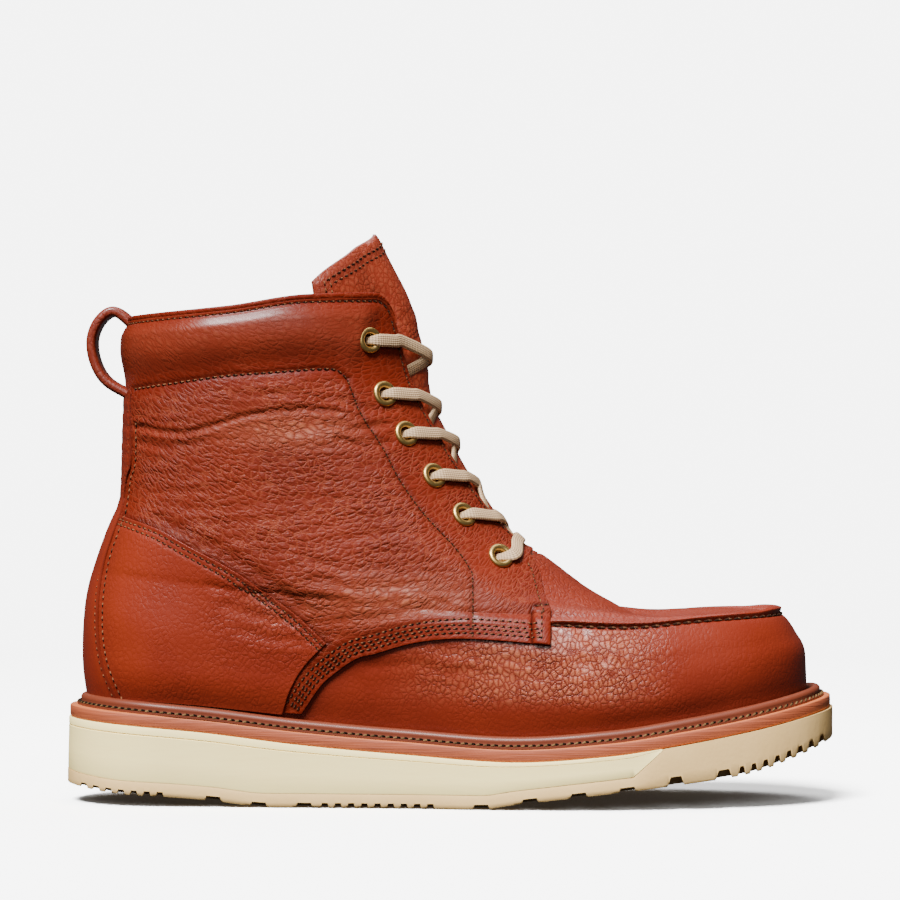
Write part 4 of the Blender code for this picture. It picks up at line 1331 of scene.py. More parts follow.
@dataclass
class Panel:
    """A leather panel on the last: a patch between four lines of spots, with rolled edges where it ends."""

    side: Side
    top: Array
    bottom: Array
    front: Array
    rear: Array
    across: int
    down: int
    rolled: tuple[str, ...]

    def shares(self, count: int, start: bool, end: bool) -> tuple[Array, Array]:
        """Shares along one way of the patch and the leather's level there, which falls at rolled edges."""
        body = np.linspace(0, 1, count)
        close = np.array([0.0, 0.0, 0.0, 0.18, 0.5]) / count
        level = np.array([-0.2, 0.45, 0.8, 0.97, 1.0])
        first = (close, level) if start else (body[:1], np.ones(1))
        last = (1 - close[::-1], level[::-1]) if end else (body[-1:], np.ones(1))
        shares = np.concatenate([first[0], body[1:-1], last[0]])
        return shares, np.concatenate([first[1], np.ones(count - 2), last[1]])

    def spots(self) -> tuple[Array, Array]:
        """Rows and parts over the patch (two ruled patches less the corners' one), and levels."""
        u, level_u = self.shares(self.across, "front" in self.rolled, "rear" in self.rolled)
        v, level_v = self.shares(self.down, "top" in self.rolled, "bottom" in self.rolled)
        top, bottom = (LAST.even(line, self.side, u)[None] for line in (self.top, self.bottom))
        front, rear = (LAST.even(line, self.side, v)[:, None] for line in (self.front, self.rear))
        u, v = u[None, :, None], v[:, None, None]
        ruled = (1 - v) * top + v * bottom + (1 - u) * front + u * rear
        corners = (1 - u) * (1 - v) * top[:, :1] + u * (1 - v) * top[:, -1:]
        corners = corners + (1 - u) * v * bottom[:, :1] + u * v * bottom[:, -1:]
        return ruled - corners, np.minimum(level_u[None, :], level_v[:, None])


@dataclass
class Upper:
    """Lining, vamp with its raised toe seam, quarters, counters, heel strip and collar edge."""

    shop: Workshop
    quarter: float = 1.45
    counter: float = 2.35
    strip: float = 3.0
    seam_row: float = 4.02
    seam_sag: float = 0.17
    lip: float = 1.9
    foot_row: float = 0.9
    heel_part: float = 0.93
    collar_part: float = 0.985
    stitch_gaps: tuple[float, ...] = (2.3, 3.9, 5.3, 7.3)
    tab: tuple[float, float, float, float] = (186.4, 193.6, 62.0, 77.0)

    def build(self) -> None:
        """Make all pieces of the upper."""
        self.build_lining()
        self.build_vamp()
        for side in Side:
            self.build_quarter(side)
            self.build_counter(side)
        self.build_strip()
        self.build_binding()
        self.build_seams()

    def wall(self, rows: Array) -> Array:
        """Thickness of the wall: leather and lining, padded at the collar."""
        return WALL + COLLAR_PAD * ease(rows, 11.4, 12.6) * (1 - 0.55 * ease(rows, 13.2, 14.0))

    def build_lining(self) -> None:
        """Inner wall of the boot with a hidden outer face, open at collar, throat and bottom."""
        turns = np.linspace(0, 2, 181)
        parts = np.where(turns <= 1, turns, 2 - turns)
        rows = np.linspace(0, 1, 72)[:, None] * LAST.top_row(parts)[None, :]
        rows = np.where(np.linspace(0, 1, 72)[:, None] < 0.571, np.linspace(0, 14, 72)[:, None], rows)
        turns = np.broadcast_to(turns, rows.shape)
        face, ways = LAST.points(rows, turns), LAST.normals(rows, turns)
        outer = face - ways * (0.95 + 0.75 * ease(face[..., 0], 205, 225))[..., None]
        inner = face - ways * self.wall(rows)[..., None]
        count = rows.size
        cells = grid_faces(*rows.shape)
        outside = faces_outward(outer, cells, ways)
        inside = faces_outward(inner, cells, -ways) + count
        index = np.arange(count).reshape(rows.shape)
        rims = []
        for edge in (index[-1], index[0], index[41:, 0], index[41:, -1]):
            rims.append(np.stack([edge[:-1], edge[1:], edge[1:] + count, edge[:-1] + count], -1))
        faces = np.concatenate([outside, inside, *rims])
        points = np.concatenate([outer.reshape(-1, 3), inner.reshape(-1, 3)])
        self.shop.add("lining", points, faces, LINING, "leather", ("upper",), closed=True)

    def seam_at(self, parts: Array) -> Array:
        """Row of the toe seam's stitches, which sag beside the ball of the foot."""
        share = (1 + np.cos(math.pi * parts)) / 2
        return self.seam_row - self.seam_sag * np.exp(-(((share - 0.775) / 0.085) ** 2))

    def toe_seam(self, rows: Array, parts: Array) -> Array:
        """Height of the raised toe seam: a crevice at the stitches, a lip that falls off to the plug."""
        share = (1 + np.cos(math.pi * parts)) / 2
        fade = ease(share, 0.62, 0.68)
        over = rows - self.seam_at(parts)
        lip = self.lip * ease(over, 0.03, 0.12) * (1 - ease(over, 0.30, 0.62))
        lip = lip * (1 + 0.45 * ease(share, 0.955, 0.99) - 0.45 * np.exp(-(((share - 0.80) / 0.07) ** 2)))
        crevice = 0.75 * np.exp(-((over / 0.06) ** 2))
        return fade * (lip - crevice)

    def build_vamp(self) -> None:
        """Vamp and toe plug: the front of the last up to the throat, with its seam, creases and pebbles."""
        rows = np.concatenate(
            [np.linspace(0, 3.6, 44)[:-1], np.linspace(3.6, 4.8, 60)[:-1], np.linspace(4.8, 8.0, 40), [8.12]]
        )
        parts = np.linspace(-0.70, 0.70, 500)
        rows, parts = np.meshgrid(rows, parts, indexing="ij")
        turns = np.where(parts <= 0, -parts, 2 - parts)
        capped = np.minimum(rows, THROAT_ROW)
        face, ways = LAST.points(capped, turns), LAST.normals(capped, turns)
        x, z = face[..., 0], face[..., 2]
        height = self.toe_seam(rows, np.abs(parts)) + relief(x, z, VAMP_CREASES)
        over = rows - self.seam_at(np.abs(parts))
        side_face = ease(-over, 0.0, 0.3)
        plug = 1 - side_face
        gathers = side_face * (0.5 * ease(x, 120, 150) + 0.5 * ease(x, 150, 178))
        gathers = gathers * (1 - ease(x, 214, 250)) * ease(z, 34, 46)
        height += 0.12 * gathers * ripples(x, z, 4.2, 1.02, 5)
        height += 0.08 * plug * (1 - ease(x, 225, 262)) * ripples(x, z, 2.2, -0.25, 9)
        height -= 1.3 * ease(over, 0.1, 0.5) * np.exp(-(((x - 236) / 15) ** 2)) + 1.1 * (rows > THROAT_ROW)
        grid = face + ways * height[..., None]
        faces = faces_outward(grid, grid_faces(*rows.shape), ways)
        grain = (0.18 + 0.95 * gathers + 0.45 * plug * (1 - ease(x, 215, 255))).clip(0, 1)
        # Painted shade: in the toe seam's crevice, towards the bottom of the vamp, beside the quarter's edge,
        # and towards the toe's end where it turns from the light.
        seam = np.exp(-((over / 0.08) ** 2)) * ease((1 + np.cos(math.pi * parts)) / 2, 0.62, 0.68)
        low = 1 - ease(z - seat_height(x), 3, 27)
        painted_shade = 0.6 * seam + (0.22 + 0.12 * ease(x, 205, 250)) * low
        painted_shade += 0.3 * self.edge_shade(x, z, VAMP_SEAM, 5.0)
        painted_shade += 0.1 * ease(x, 235, 262) * side_face + 0.2 * ease(x, 268, 297) * side_face
        # Wax and a painted highlight, strongest on the pebbled gathers.
        polish = 0.08 + gathers + 0.08 * plug
        values = {"grain": grain, "painted_shade": painted_shade.clip(0, 0.9), "polish": polish}
        self.shop.add("vamp", grid, faces, UPPER_LEATHER, "leather", (), values)

    def edge_shade(self, x: Array, z: Array, path: Array, reach: float) -> Array:
        """Painted shade that fades with the distance from a seam."""
        return np.exp(-((distance_to(x, z, path) / reach) ** 2))

    def facing(self, side: Side) -> Array:
        """Front line of a quarter: down the throat's edge, then along the front of the vamp seam."""
        rows = np.linspace(LAST.top_row(np.zeros(1))[0], 8.7, 60)
        return np.concatenate([np.stack([rows, np.zeros(60)], -1), LAST.seam(VAMP_FRONT, side, 40)[2:]])

    def build_quarter(self, side: Side) -> None:
        """Quarter with eyestay and padded collar, its front and lower edges rolled over the vamp."""
        front = self.facing(side)
        seam = LAST.seam(VAMP_SEAM, side, 90)
        parts = np.linspace(seam[-1, 1], self.heel_part, 40)
        feather = np.stack([np.linspace(seam[-1, 0], self.foot_row, 40), parts], -1)
        bottom = np.concatenate([seam, feather[1:]])
        parts = np.linspace(0, self.collar_part, 120)
        top = np.stack([LAST.top_row(parts), parts], -1)
        parts = np.linspace(self.collar_part, self.heel_part, 80)
        rear = np.stack([np.linspace(TOP_ROW, self.foot_row, 80), parts], -1)
        panel = Panel(side, top, bottom, front, rear, 270, 260, ("front", "bottom", "top"))
        spots, level = panel.spots()
        rows, parts = spots[..., 0], spots[..., 1].clip(0, 1)
        turns = side.turn(parts)
        face, ways = LAST.points(rows, turns), LAST.normals(rows, turns)
        x, z = face[..., 0], face[..., 2]
        marks = self.quarter_marks(rows, parts, face)
        dips = self.eyelet_dips(side, face)
        height = self.quarter_height(marks, x, z, level) - 1.6 * dips
        grid = face + ways * height[..., None]
        faces = faces_outward(grid, grid_faces(*rows.shape), ways)
        # Painted shade: along the collar, eyestay and counter seams, under the collar's pad, in the trough by
        # the top, in the eyelets' holes, in the creases and behind the tab.
        painted_shade = 0.3 * np.exp(-((distance_to(x, z, COLLAR_LINE) / 1.5) ** 2))
        painted_shade += 0.08 * np.exp(-((marks.over_line / 5.0 - 0.5) ** 2)) * marks.padded
        painted_shade += 0.25 * self.edge_shade(x, z, EYESTAY_LINE, 1.2)
        painted_shade += 0.5 * self.edge_shade(x, z, COUNTER_TOP, 2.2)
        painted_shade += 0.25 * np.exp(-((marks.to_top - 3.0) ** 2)) + 0.9 * (dips > 0.4)
        painted_shade += 0.3 * ease(-relief(x, z, SHAFT_CREASES), 0.15, 0.9) * marks.shaft
        painted_shade += 0.8 * self.tab_crease(x, z)
        grain = 0.38 + 0.62 * marks.soft
        # Wax and a painted highlight: on the padded collar, and two patches where light catches the pebbles,
        # under the fold and low at the front.
        polish = 0.03 + 0.06 * marks.soft + 0.55 * marks.padded
        polish += 0.85 * np.exp(-(((x - 90) / 22) ** 2) - ((z - 147) / 6.0) ** 2)
        polish += 0.7 * np.exp(-(((x - 132) / 30) ** 2) - ((z - 80) / 9.0) ** 2)
        values = {"grain": grain, "painted_shade": painted_shade.clip(0, 0.95), "polish": polish}
        name = "quarter_" + side.word
        self.shop.add(name + "_skin", grid, faces, SHAFT_LEATHER, "leather", (name,), values)

    def quarter_marks(self, rows: Array, parts: Array, face: Array) -> QuarterMarks:
        """Where each spot lies on the quarter: by the collar line, the top, the shaft and the eyestay."""
        x, z = face[..., 0], face[..., 2]
        over_line = z - np.interp(x, *np.array(COLLAR_LINE).T)
        behind = ease(116 - x + 0.25 * (z - 167), -4, 4)
        to_top = (LAST.top_row(parts) - rows) * ROW_RISE
        padded = ease(over_line, 0, 17) * ease(to_top, 2.0, 10.0) * behind
        shaft = ease(-over_line, 1, 6) * ease(x, 24, 34)
        eyestay = ease(self.beyond_eyestay(x, z), -2, 2)
        low_band = ease(distance_to(x, z, VAMP_SEAM), 7.5, 11)
        soft = shaft * low_band * (1 - 0.4 * eyestay)
        return QuarterMarks(over_line, to_top, padded, shaft, low_band, soft)

    def quarter_height(self, marks: QuarterMarks, x: Array, z: Array, level: Array) -> Array:
        """Height of the quarter's face: leather, padded collar, stitch troughs, creases and wrinkles."""
        height = self.quarter * level + 1.7 * marks.padded
        height -= 0.55 * np.exp(-((distance_to(x, z, COLLAR_LINE) / 1.2) ** 2))
        height -= 0.3 * np.exp(-((distance_to(x, z, EYESTAY_LINE) / 1.0) ** 2))
        height -= 0.6 * np.exp(-(((marks.to_top - 3.0) / 0.9) ** 2))
        height += 0.5 * np.exp(-(((marks.to_top - 0.9) / 1.2) ** 2))
        from_seam = distance_to(x, z, VAMP_SEAM)
        for gap in self.stitch_gaps:
            height -= 0.22 * np.exp(-(((from_seam - gap) / 0.6) ** 2)) * (z > 36)
        height += marks.soft * (0.12 * ripples(x, z, 5.2, 0.10, 21) + 0.05 * ripples(x, z, 3.0, -0.35, 4))
        height += relief(x, z, SHAFT_CREASES) * level.clip(0, 1) * marks.low_band
        height += 1.1 * self.tab_bulge(x, z) - 0.7 * self.tab_crease(x, z)
        return height - 0.7 * ease(-self.over_counter(x, z), -0.5, 1.5)

    def tab_bulge(self, x: Array, z: Array) -> Array:
        """The folded tab at the quarter's front corner: a half-round, 0 outside it and 1 at its top."""
        rear, front, low, high = self.tab
        across = np.clip(1 - ((x - (rear + front) / 2) / ((front - rear) / 2)) ** 2, 0, 1)
        return np.sqrt(across) * ease(z, low - 1.0, low + 1.5) * (1 - ease(z, high - 2.0, high + 0.5))

    def tab_crease(self, x: Array, z: Array) -> Array:
        """Line behind the tab and over its top, used for a shallow trough and for painted shade there."""
        rear, front, low, high = self.tab
        line = (
            (rear - 0.2, low + 1.5),
            (rear - 0.2, high),
            (rear + 1.0, high + 0.6),
            (front - 0.6, high + 0.6),
        )
        return np.exp(-((distance_to(x, z, line) / 0.6) ** 2))

    def on_quarter(self, spots: Array, side: Side, lift: float) -> tuple[Array, Array]:
        """Points that stand on the quarter's own face, and the directions out of it."""
        turns = side.turn(spots[:, 1])
        face, ways = LAST.points(spots[:, 0], turns), LAST.normals(spots[:, 0], turns)
        marks = self.quarter_marks(spots[:, 0], spots[:, 1], face)
        height = self.quarter_height(marks, face[:, 0], face[:, 2], np.ones(len(face)))
        return face + ways * (height + lift)[:, None], ways

    def beyond_eyestay(self, x: Array, z: Array) -> Array:
        """How far a place lies in front of the eyestay's line, below 0 behind it."""
        line = np.array(EYESTAY_LINE)[::-1]
        return x - np.interp(z, line[:, 1], line[:, 0])

    def over_counter(self, x: Array, z: Array) -> Array:
        """How far a place lies over the counter's top edge, below 0 under it."""
        line = np.array(COUNTER_TOP)
        front = np.array(COUNTER_FRONT)[::-1]
        over = z - np.interp(x, line[:, 0], line[:, 1])
        return np.maximum(over, x - np.interp(z, front[:, 1], front[:, 0]))

    def eyelet_dips(self, side: Side, face: Array) -> Array:
        """1 inside the eyelets' holes, falling to 0 at their rims."""
        spots = LAST.find(np.array(EYELETS), side)
        centres = LAST.points(spots[:, 0], side.turn(spots[:, 1]))
        dips = np.zeros(face.shape[:-1])
        for centre in centres:
            away = np.linalg.norm(face - centre, axis=-1)
            dips = np.maximum(dips, 1 - ease(away, 2.0, 3.4))
        return dips

    def build_counter(self, side: Side) -> None:
        """Counter: smooth heel panel with rolled upper and front edges over the quarter."""
        top = LAST.seam(COUNTER_TOP[::-1], side, 90)
        front = LAST.seam(COUNTER_FRONT, side, 50)
        parts = np.linspace(max(top[-1, 1], self.heel_part), self.heel_part, 60)
        rear = np.stack([np.linspace(top[-1, 0], self.foot_row, 60), parts], -1)
        top[-1, 1] = rear[0, 1]
        parts = np.linspace(front[-1, 1], self.heel_part, 60)
        bottom = np.stack([np.linspace(front[-1, 0], self.foot_row, 60), parts], -1)
        panel = Panel(side, top, bottom, front, rear, 150, 120, ("top", "front"))
        spots, level = panel.spots()
        rows, parts = spots[..., 0], spots[..., 1].clip(0, 1)
        turns = side.turn(parts)
        face, ways = LAST.points(rows, turns), LAST.normals(rows, turns)
        x, z = face[..., 0], face[..., 2]
        to_top = distance_to(x, z, COUNTER_TOP)
        height = self.counter * np.where(level < 0.9, 0.25 + 0.75 * level.clip(-0.3, 1), level)
        height += relief(x, z, COUNTER_CREASES)
        for gap in (1.7, 3.8):
            height -= 0.28 * np.exp(-(((to_top - gap) / 0.75) ** 2))
        height += 0.10 * ease(x, 55, 85) * ease(z, 50, 70) * ripples(x, z, 4.5, 0.35, 8)
        grid = face + ways * height[..., None]
        faces = faces_outward(grid, grid_faces(*rows.shape), ways)
        # Painted shade under the counter's top edge, towards the bottom by the welt and beside the strip.
        painted_shade = 0.22 * np.exp(-((to_top / 3.5) ** 2)) + 0.25 * (1 - ease(z - seat_height(x), 3, 14))
        painted_shade += 0.2 * self.edge_shade(x, z, STRIP_EDGE, 4.0)
        grain = 0.26 + 0.4 * ease(x, 50, 80) * ease(z, 48, 70)
        # Wax and a painted highlight on a patch near the counter's front.
        polish = 0.08 + 0.35 * np.exp(-(((x - 84) / 14) ** 2) - ((z - 78) / 9.0) ** 2)
        values = {"grain": grain, "painted_shade": painted_shade, "polish": polish}
        name = "counter_" + side.word
        self.shop.add(name + "_skin", grid, faces, UPPER_LEATHER, "leather", (name,), values)

    def build_strip(self) -> None:
        """Strip over the heel seam, from the feather line to the collar line."""
        edges = [LAST.seam(STRIP_EDGE, side, 120) for side in Side]
        share = np.linspace(-1, 1, 61)
        share = np.concatenate([[-1, -1, -1], share, [1, 1, 1]])
        level = np.concatenate([[0.0, 0.5, 0.85], np.ones(61), [0.85, 0.5, 0.0]])
        rows = np.where(share[None] < 0, edges[0][:, :1], edges[1][:, :1])
        rows = rows + (1 - np.abs(share)) * (edges[0][:, :1] + edges[1][:, :1] - 2 * rows) / 2
        reach = np.where(share[None] < 0, 1 - edges[0][:, 1:], 1 - edges[1][:, 1:])
        turns = 1 + share[None] * reach
        face, ways = LAST.points(rows, turns), LAST.normals(rows, turns)
        x, z = face[..., 0], face[..., 2]
        height = (self.strip - 0.75 * ease(z, 106, 118)) * (0.3 + 0.7 * level)[None]
        inside = (1 - np.abs(share))[None] * 20
        height = height - 0.25 * np.exp(-(((inside - 1.8) / 0.9) ** 2))
        height += 0.12 * ease(z, 95, 125) * ripples(x + face[..., 1], z, 4.0, 0.1, 31)
        grid = face + ways * height[..., None]
        faces = faces_outward(grid, grid_faces(*rows.shape), ways)
        # Painted shade beside the strip's edges and towards the bottom, and a little over the whole strip.
        painted_shade = 0.25 * np.exp(-((inside / 2.0) ** 2)) + 0.25 * (1 - ease(z - seat_height(x), 3, 14)) + 0.1
        values = {"grain": 0.12 + 0.4 * ease(z, 100, 125), "painted_shade": painted_shade, "polish": np.full(z.shape, 0.1)}
        self.shop.add("back_strip_skin", grid, faces, UPPER_LEATHER, "leather", ("back_strip",), values)

    def build_binding(self) -> None:
        """Rolled edge of the collar: an arched band from the outer face over the top to the lining."""
        parts = np.linspace(0, 1, 150)
        turns = np.concatenate([parts, 2 - parts[-2::-1]])
        parts = np.concatenate([parts, parts[-2::-1]])
        rows = LAST.top_row(parts)
        edge, ways = LAST.points(rows, turns), LAST.normals(rows, turns)
        up = unit(edge - LAST.points(rows - 0.1, turns))
        wall = self.wall(np.full(1, float(TOP_ROW)))[0]
        middle, half = (self.quarter - wall) / 2, (self.quarter + wall) / 2 + 0.15
        angle = np.radians(np.linspace(-50, 230, 15))
        profile = list(zip(middle + half * np.cos(angle), -2.0 + 2.1 * np.sin(angle)))
        profile.append((-wall - 0.1, -5.4))
        grid = np.stack([edge + ways * out + up * rise for out, rise in profile], axis=1)
        points, faces = tube(grid)
        shape = points.shape[:2]
        values = {"grain": np.full(shape, 0.25), "painted_shade": np.full(shape, 0.0), "polish": np.full(shape, 0.25)}
        self.shop.add("collar_binding", points, faces, UPPER_LEATHER, "leather", (), values, closed=True)

    def stitch_line(self, spots: Array, side: Side, height: float) -> tuple[Array, Array]:
        """Points and directions over a line of spots."""
        turns = side.turn(spots[:, 1])
        return LAST.lifted(spots[:, 0], turns, np.full(len(spots), height)), LAST.normals(spots[:, 0], turns)

    def build_seams(self) -> None:
        """All rows of thread on the upper, each a line beside a panel's edge."""
        lines = []
        for side in Side:
            seam = flowing(VAMP_SEAM, 160)
            for gap in self.stitch_gaps:
                line = beside(seam, -gap)
                line = line[(line[:, 0] < 191.5 - 0.3 * gap) & (line[:, 1] > 36.0)]
                lines.append(self.on_quarter(LAST.find(line, side), side, 0.12))
            for gap, height in ((-1.7, self.counter - 0.2), (-3.8, self.counter - 0.2)):
                line = beside(flowing(COUNTER_TOP, 120), gap)
                line = line[line[:, 0] > 22]
                lines.append(self.stitch_line(LAST.find(line, side), side, height))
            for gap, height in ((-1.3, self.strip - 0.45), (1.5, self.counter)):
                line = beside(flowing(STRIP_EDGE, 160)[::-1], -gap)
                rise = height - (0.75 if gap < 0 else 0.9) * ease(line[:, 1], 106, 118)
                spots = LAST.find(line, side)
                turns = side.turn(spots[:, 1])
                ways = LAST.normals(spots[:, 0], turns)
                lines.append((LAST.points(spots[:, 0], turns) + ways * rise[:, None], ways))
            lines.append(self.on_quarter(LAST.seam(COLLAR_LINE, side, 120), side, 0.2))
            lines.append(self.on_quarter(LAST.seam(EYESTAY_LINE, side, 160), side, 0.15))
            corner = LAST.corner_line(3.0)
            parts = np.linspace(0.97, corner[0, 1], 200)[:-1]
            spots = np.stack([np.full(len(parts), TOP_ROW - 3.0 / ROW_RISE), parts], -1)
            lines.append(self.on_quarter(np.concatenate([spots, corner]), side, 0.15))
            rows = np.linspace(corner[-1, 0] - 0.1, 8.9, 120)
            spots = np.stack([rows, LAST.edge_part(rows, side, 3.0)], -1)
            front = LAST.find(beside(flowing(VAMP_FRONT, 50)[6:34], -2.8), side)
            lines.append(self.on_quarter(np.concatenate([spots, front]), side, 0.12))
            rear, edge, low, high = self.tab
            tack = np.array([(rear, high + 0.3), (edge, high + 0.6)])
            upright = np.array([((rear + edge) / 2, low + 2.0), ((rear + edge) / 2, high - 1.0)])
            for line in (tack, upright):
                lines.append(self.on_quarter(LAST.find(spaced(line, 30), side), side, 0.1))
        points, faces, tone = Stitching().rows(lines)
        self.shop.add("seam_stitches", points, faces, SEAM_THREAD, "lace", (), {"tone": tone})
        share = np.linspace(math.acos(2 * 0.66 - 1) / math.pi, 0, 160)
        parts = np.concatenate([share, -share[-2::-1]])
        rows = self.seam_at(np.abs(parts)) - 0.03
        turns = np.where(parts >= 0, parts, 2 + parts)
        line, ways = LAST.lifted(rows, turns, np.full(len(parts), 0.15)), LAST.normals(rows, turns)
        thick = Stitching(length=3.6, pitch=4.3, radius=0.45, height=0.3, sides=8)
        points, faces, tone = thick.along(line, ways)
        self.shop.add("toe_seam_stitches", points, faces, TOE_THREAD, "lace", (), {"tone": tone})


VAMP_CREASES = (
    Crease(2.6, 0.35, ((150, 60), (170, 57), (192, 55), (214, 57))),
    Crease(2.2, 0.30, ((160, 53), (182, 50), (205, 52))),
    Crease(2.0, 0.25, ((196, 66), (203, 58), (212, 52))),
    Crease(1.8, 0.25, ((205, 68), (213, 60), (222, 54))),
    Crease(2.2, 0.25, ((122, 54), (140, 55), (158, 52))),
)
SHAFT_FOLD = (
    (30, 148.4),
    (41, 146.4),
    (50.3, 145.6),
    (60.3, 148.4),
    (72.3, 152.3),
    (84, 154.3),
    (97, 155.2),
    (110, 154.3),
)
SHAFT_CREASES = (
    Crease(7.0, -0.6, ((30, 156.5), (46, 154), (60, 156), (74, 160), (92, 161.5))),
    Crease(1.2, 0.6, SHAFT_FOLD),
    Crease(1.6, 0.35, ((32, 142), (44, 140), (56, 142))),
    Crease(1.6, 0.35, ((70, 160.5), (84, 161), (98, 160))),
    Crease(1.6, 0.40, ((112, 158), (122, 155), (131, 154.5))),
    Crease(1.5, 0.35, ((106, 149), (116, 147), (128, 149))),
    Crease(1.5, 0.35, ((110, 143), (120, 140), (130, 142))),
    Crease(2.4, 0.22, ((104, 80), (122, 77), (142, 78), (158, 82))),
    Crease(2.0, 0.28, ((100, 88), (118, 84), (140, 86))),
    Crease(2.2, 0.35, ((112, 72.5), (132, 74), (152, 77))),
    Crease(1.8, 0.35, ((96, 97), (112, 92), (130, 93))),
    Crease(2.4, 0.55, ((40, 111.5), (52.5, 105), (69.5, 96.2), (82.5, 88), (95.5, 78))),
)
COUNTER_CREASES = (
    Crease(2.4, 0.28, ((66, 78), (78, 74), (92, 72))),
    Crease(2.0, 0.22, ((60, 86), (72, 82), (84, 80))),
    Crease(2.2, 0.20, ((72, 68), (84, 65), (96, 64))),
)


@dataclass
class Tongue:
    """Padded tongue behind the facings, taller than the collar, with two rows of stitches at its edge."""

    shop: Workshop
    half_width: float = 40.0
    thickness: float = 3.6
    crown: float = 8.2
    depth: float = WALL + 0.5
    spread: float = math.radians(62)
    first_row: float = 7.7
    drop: float = 0.645
    corner: float = 0.14

    def face(self, rows: Array, spread: Array, depth: float) -> Array:
        """Face at a depth behind the upper: the rings' rounding carried on across the throat, crowned."""
        ring = LAST.columns(rows)
        angle = spread * self.spread
        width = np.where(spread < 0, ring.lat_toe, ring.med_toe)
        centre = ring.x_back + ring.toe_round * (ring.x_front - ring.x_back)
        length = (ring.x_front - centre) / LAST.reach(ring.gap, width)
        wall = COLLAR_PAD * ease(rows, 11.4, 12.6) * (1 - 0.9 * ease(rows, 13.3, 14.4))
        pad = (wall + 0.2) * ease(np.abs(spread), 0.2, 0.4)
        slope = ease(rows, 8.6, 11.5)
        fill = 0.33 * ease(rows, 7.8, 8.3) * (1 - ease(rows, 8.7, 9.3))
        slow = 0.40 * ease(rows, 8.9, 10.4) + 0.15 * ease(rows, 10.4, 11.3)
        crown = self.crown * (fill + slow + 0.45 * ease(rows, 11.4, 12.3))
        crown = crown * (1 - 0.36 * ease(rows, 13.4, 14.8))
        inward = depth + pad - crown * ease(1 - np.abs(spread), 0.55, 0.98)
        x = centre + (length - inward * (0.62 + 0.38 * slope)) * np.cos(angle)
        y = (width - inward) * np.sin(angle)
        share = np.clip((x - ring.x_back) / (ring.x_front - ring.x_back), 0, 1)
        z = ring.z_ball + (ring.z_front - ring.z_ball) * ease(share, 0.6, 1.0) - inward * 0.78 * (1 - slope)
        return np.stack([x, y, z], axis=-1)

    def top(self, spread: Array) -> Array:
        """Row of the tongue's upper edge."""
        return TONGUE_ROW - self.drop * (np.hypot(spread, 0.03) - 0.03) - self.corner * spread**8

    def build(self) -> None:
        """Two faces joined by a rounded rim."""
        spread = np.linspace(-1, 1, 121)
        rise = np.linspace(0, 1, 110)
        rows = self.first_row + rise[:, None] * (self.top(spread) - self.first_row)[None]
        spread = np.broadcast_to(spread, rows.shape)
        away = np.minimum((1 - rise[:, None]) * 130, (1 - np.abs(spread)) * self.half_width)
        thin = 1 - np.exp(-away / 1.6)
        middle = self.depth + self.thickness / 2
        puff = 0.5 * ease(away, 3, 14)
        soft = 0.12 * ease(away, 2, 10) * ripples(spread * self.half_width, rows * 14, 6.0, 0.5, 17)
        sheets = []
        for sign in (-1, 1):
            depth = middle + sign * self.thickness / 2 * (0.35 + 0.65 * thin) - (sign < 0) * (puff + soft)
            sheets.append(self.face(rows, spread, depth))
        count = rows.size
        cells = grid_faces(*rows.shape)
        way = sheets[0] - sheets[1]
        index = np.arange(count).reshape(rows.shape)
        rims = []
        for edge in (index[-1], index[0][::-1], index[::-1, -1], index[:, 0]):
            rims.append(np.stack([edge[:-1], edge[1:], edge[1:] + count, edge[:-1] + count], -1))
        front = faces_outward(sheets[0], cells, way)
        back = faces_outward(sheets[1], cells, -way) + count
        points = np.concatenate([sheet.reshape(-1, 3) for sheet in sheets])
        faces = np.concatenate([front, back, *rims])
        grain = np.concatenate([np.full(count, 0.5), np.full(count, 0.1)])
        # Painted shade along the stitched band by the tongue's edge; wax and a painted highlight all over.
        painted_shade = np.concatenate([0.25 * np.exp(-((away.ravel() - 3.2) ** 2) / 4), np.zeros(count)])
        values = {"grain": grain, "painted_shade": painted_shade, "polish": np.full(2 * count, 0.6)}
        self.shop.add(
            "tongue_skin", points, faces, UPPER_LEATHER, "leather", ("tongue",), values, closed=True
        )
        self.build_stitches()

    def build_stitches(self) -> None:
        """Two rows along the upper edge, which turn down beside the side edges."""
        lines = []
        for inside in (2.4, 4.5):
            end = 1 - (inside + 1.0) / self.half_width
            spread = np.concatenate([np.full(30, -end), np.linspace(-end, end, 200), np.full(30, end)])
            down = np.concatenate([np.linspace(0.7, 0, 30), np.zeros(200), np.linspace(0, 0.7, 30)])
            rows = self.top(spread) - inside / 20.0 - 0.02 - down
            here = self.face(rows, spread, self.depth + 0.1)
            there = self.face(rows, spread, self.depth - 0.9)
            lines.append((here, unit(there - here)))
        points, faces, tone = Stitching().rows(lines)
        self.shop.add("tongue_stitches", points, faces, SEAM_THREAD, "lace", (), {"tone": tone})


